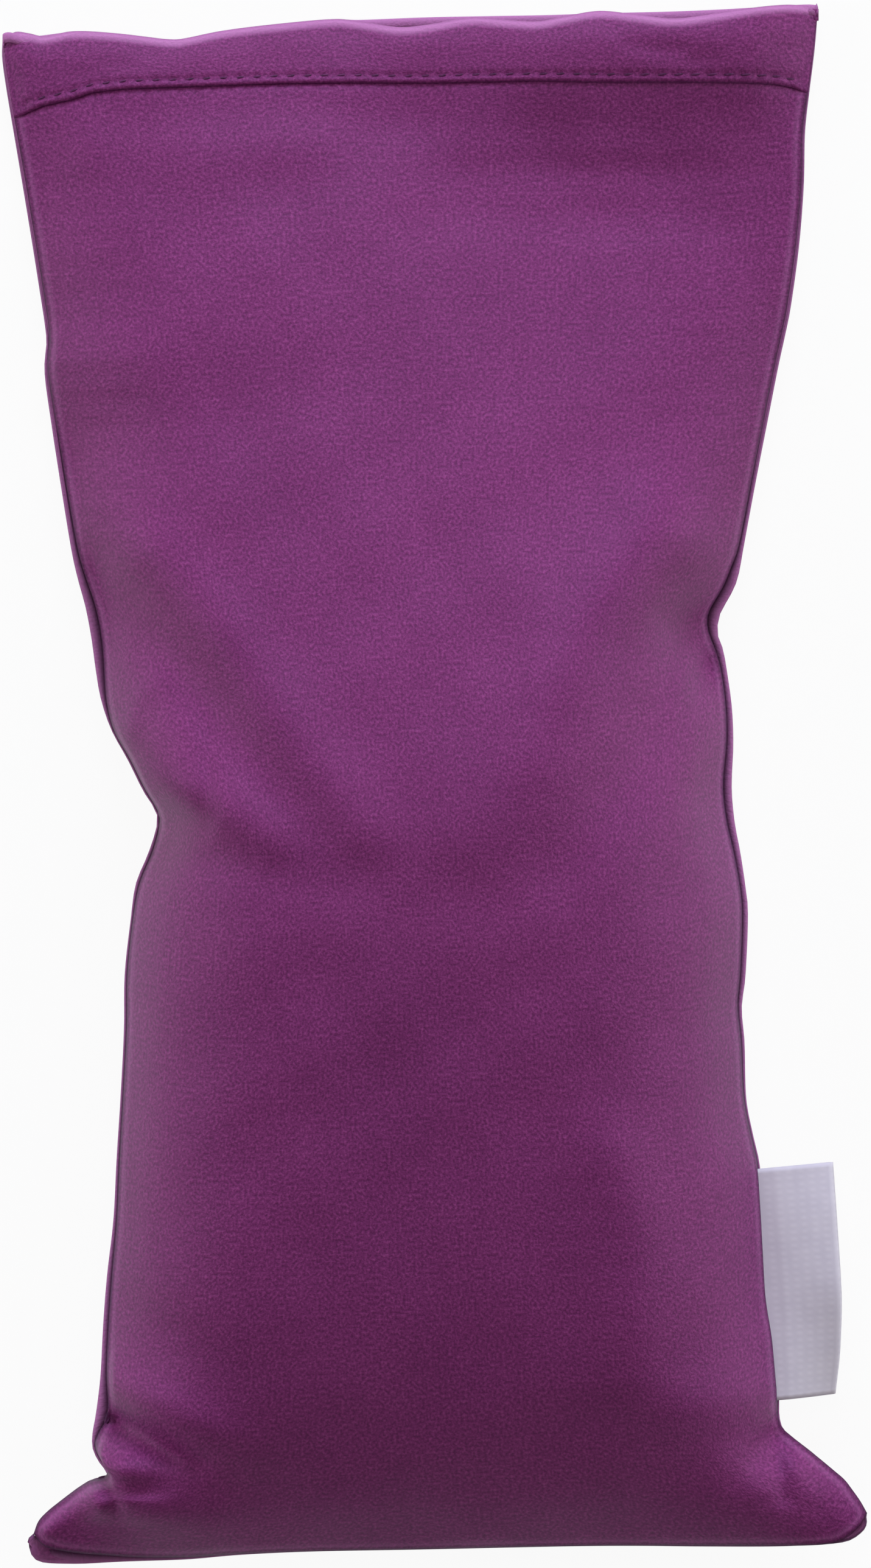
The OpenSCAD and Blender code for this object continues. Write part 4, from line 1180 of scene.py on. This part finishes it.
def floor_finish():
    """White paper with a faint tooth, seen mostly as plain white."""
    material, tree = new_material("matt white paper")
    path = add(tree, "ShaderNodeLightPath")
    place = add(tree, "ShaderNodeTexCoord").outputs["Object"]
    tooth = add(tree, "ShaderNodeTexNoise", {}, {"Vector": place, "Scale": 1 / (PAPER_TOOTH * MM)})
    tone = add(tree, "ShaderNodeValToRGB", {}, {"Fac": tooth.outputs["Fac"]}, [
        (0.3, "#E9E9E9"), (0.7, "#EFEFEF")])
    matt = add(tree, "ShaderNodeBsdfDiffuse", {}, {"Color": tone.outputs["Color"]})
    white = add(tree, "ShaderNodeEmission", {}, {"Color": (1, 1, 1, 1), "Strength": 1.0})
    seen = add(tree, "ShaderNodeMath", {"operation": "MAXIMUM"}, {
        0: path.outputs["Is Camera Ray"], 1: path.outputs["Is Glossy Ray"]})
    clear = add(tree, "ShaderNodeMath", {"operation": "MAXIMUM"}, {
        0: seen.outputs["Value"], 1: path.outputs["Is Transmission Ray"]})
    part = add(tree, "ShaderNodeMath", {"operation": "MULTIPLY"}, {0: clear.outputs["Value"], 1: WHITE_SHARE})
    mixed = add(tree, "ShaderNodeMixShader", {}, {
        0: part.outputs["Value"], 1: matt.outputs["BSDF"], 2: white.outputs["Emission"]})
    add(tree, "ShaderNodeOutputMaterial", {}, {"Surface": mixed.outputs["Shader"]})
    return material


bm = bmesh.new()
bmesh.ops.create_grid(bm, x_segments=1, y_segments=1, size=FLOOR_SIZE / 2,
                      matrix=Matrix.Translation((0, 0, -FLOOR_DROP * MM)))
floor = put_in_scene("floor", mesh_of(bm, "floor"))
floor.data.materials.append(floor_finish())
print(f"floor {FLOOR_SIZE} m wide, {FLOOR_DROP} mm below the table's height")

# %% Lamps and world
# Each lamp has its place and width in metres, its power in watts and its colour
LAMPS = [
    ("far lamp", (0.08, 1.7, 0.72), 1.1, 30.0, "#E6ECFF"),
    ("left lamp", (-0.9, 0.2, 0.28), 0.6, 4.0, "#FFFFFF"),
    ("right lamp", (0.9, 0.2, 0.28), 0.6, 4.0, "#FFFFFF"),
    ("near lamp", (0.0, -1.3, 0.8), 0.8, 1.0, "#FFDCD0"),
    ("overhead lamp", (0.0, 0.2, 1.5), 1.0, 3.4, "#FFF8F2"),
]
for name, place, size, power, colour in LAMPS:
    lamp = bpy.data.lights.new(name, "AREA")
    lamp.size, lamp.energy, lamp.color = size, power, linear(colour)[:3]
    stand = put_in_scene(name, lamp)
    stand.location = place
    stand.rotation_euler = Vector(place).to_track_quat("Z", "Y").to_euler()

SKY_LIGHT, SKY_SEEN = 0.15, 1.0
world = bpy.data.worlds.new("white studio")
bpy.context.scene.world = world
world.use_nodes = True
tree = world.node_tree
tree.nodes.clear()
path = add(tree, "ShaderNodeLightPath")
seen = add(tree, "ShaderNodeMath", {"operation": "MAXIMUM"}, {
    0: path.outputs["Is Camera Ray"], 1: path.outputs["Is Transmission Ray"]})
power = add(tree, "ShaderNodeMapRange", {}, {
    "Value": seen.outputs["Value"], "To Min": SKY_LIGHT, "To Max": SKY_SEEN})
sky = add(tree, "ShaderNodeBackground", {}, {"Color": (1, 1, 1, 1), "Strength": power.outputs["Result"]})
add(tree, "ShaderNodeOutputWorld", {}, {"Surface": sky.outputs["Background"]})
bpy.context.scene.view_settings.view_transform = "Standard"
print(len(LAMPS), "lamps round the pillow")

# %% Camera
CAMERA_UP = 1.2
FRAME_TALL = 232.1
SENSOR = 36.0
lens = bpy.data.cameras.new("camera")
lens.sensor_width = SENSOR
lens.lens = SENSOR * (CAMERA_UP / MM - SEAM_MID) / FRAME_TALL
camera = put_in_scene("camera", lens)
camera.location = (0, 0, CAMERA_UP)
bpy.context.scene.camera = camera
print(f"camera {CAMERA_UP} m up, lens {lens.lens:.1f} mm")

# %% [markdown]
# ## Size
# The cloth may stand a little proud of the CAD solids, and no more. Last, the scene is brought up to
# date.

# %% Finish
bpy.context.view_layer.update()
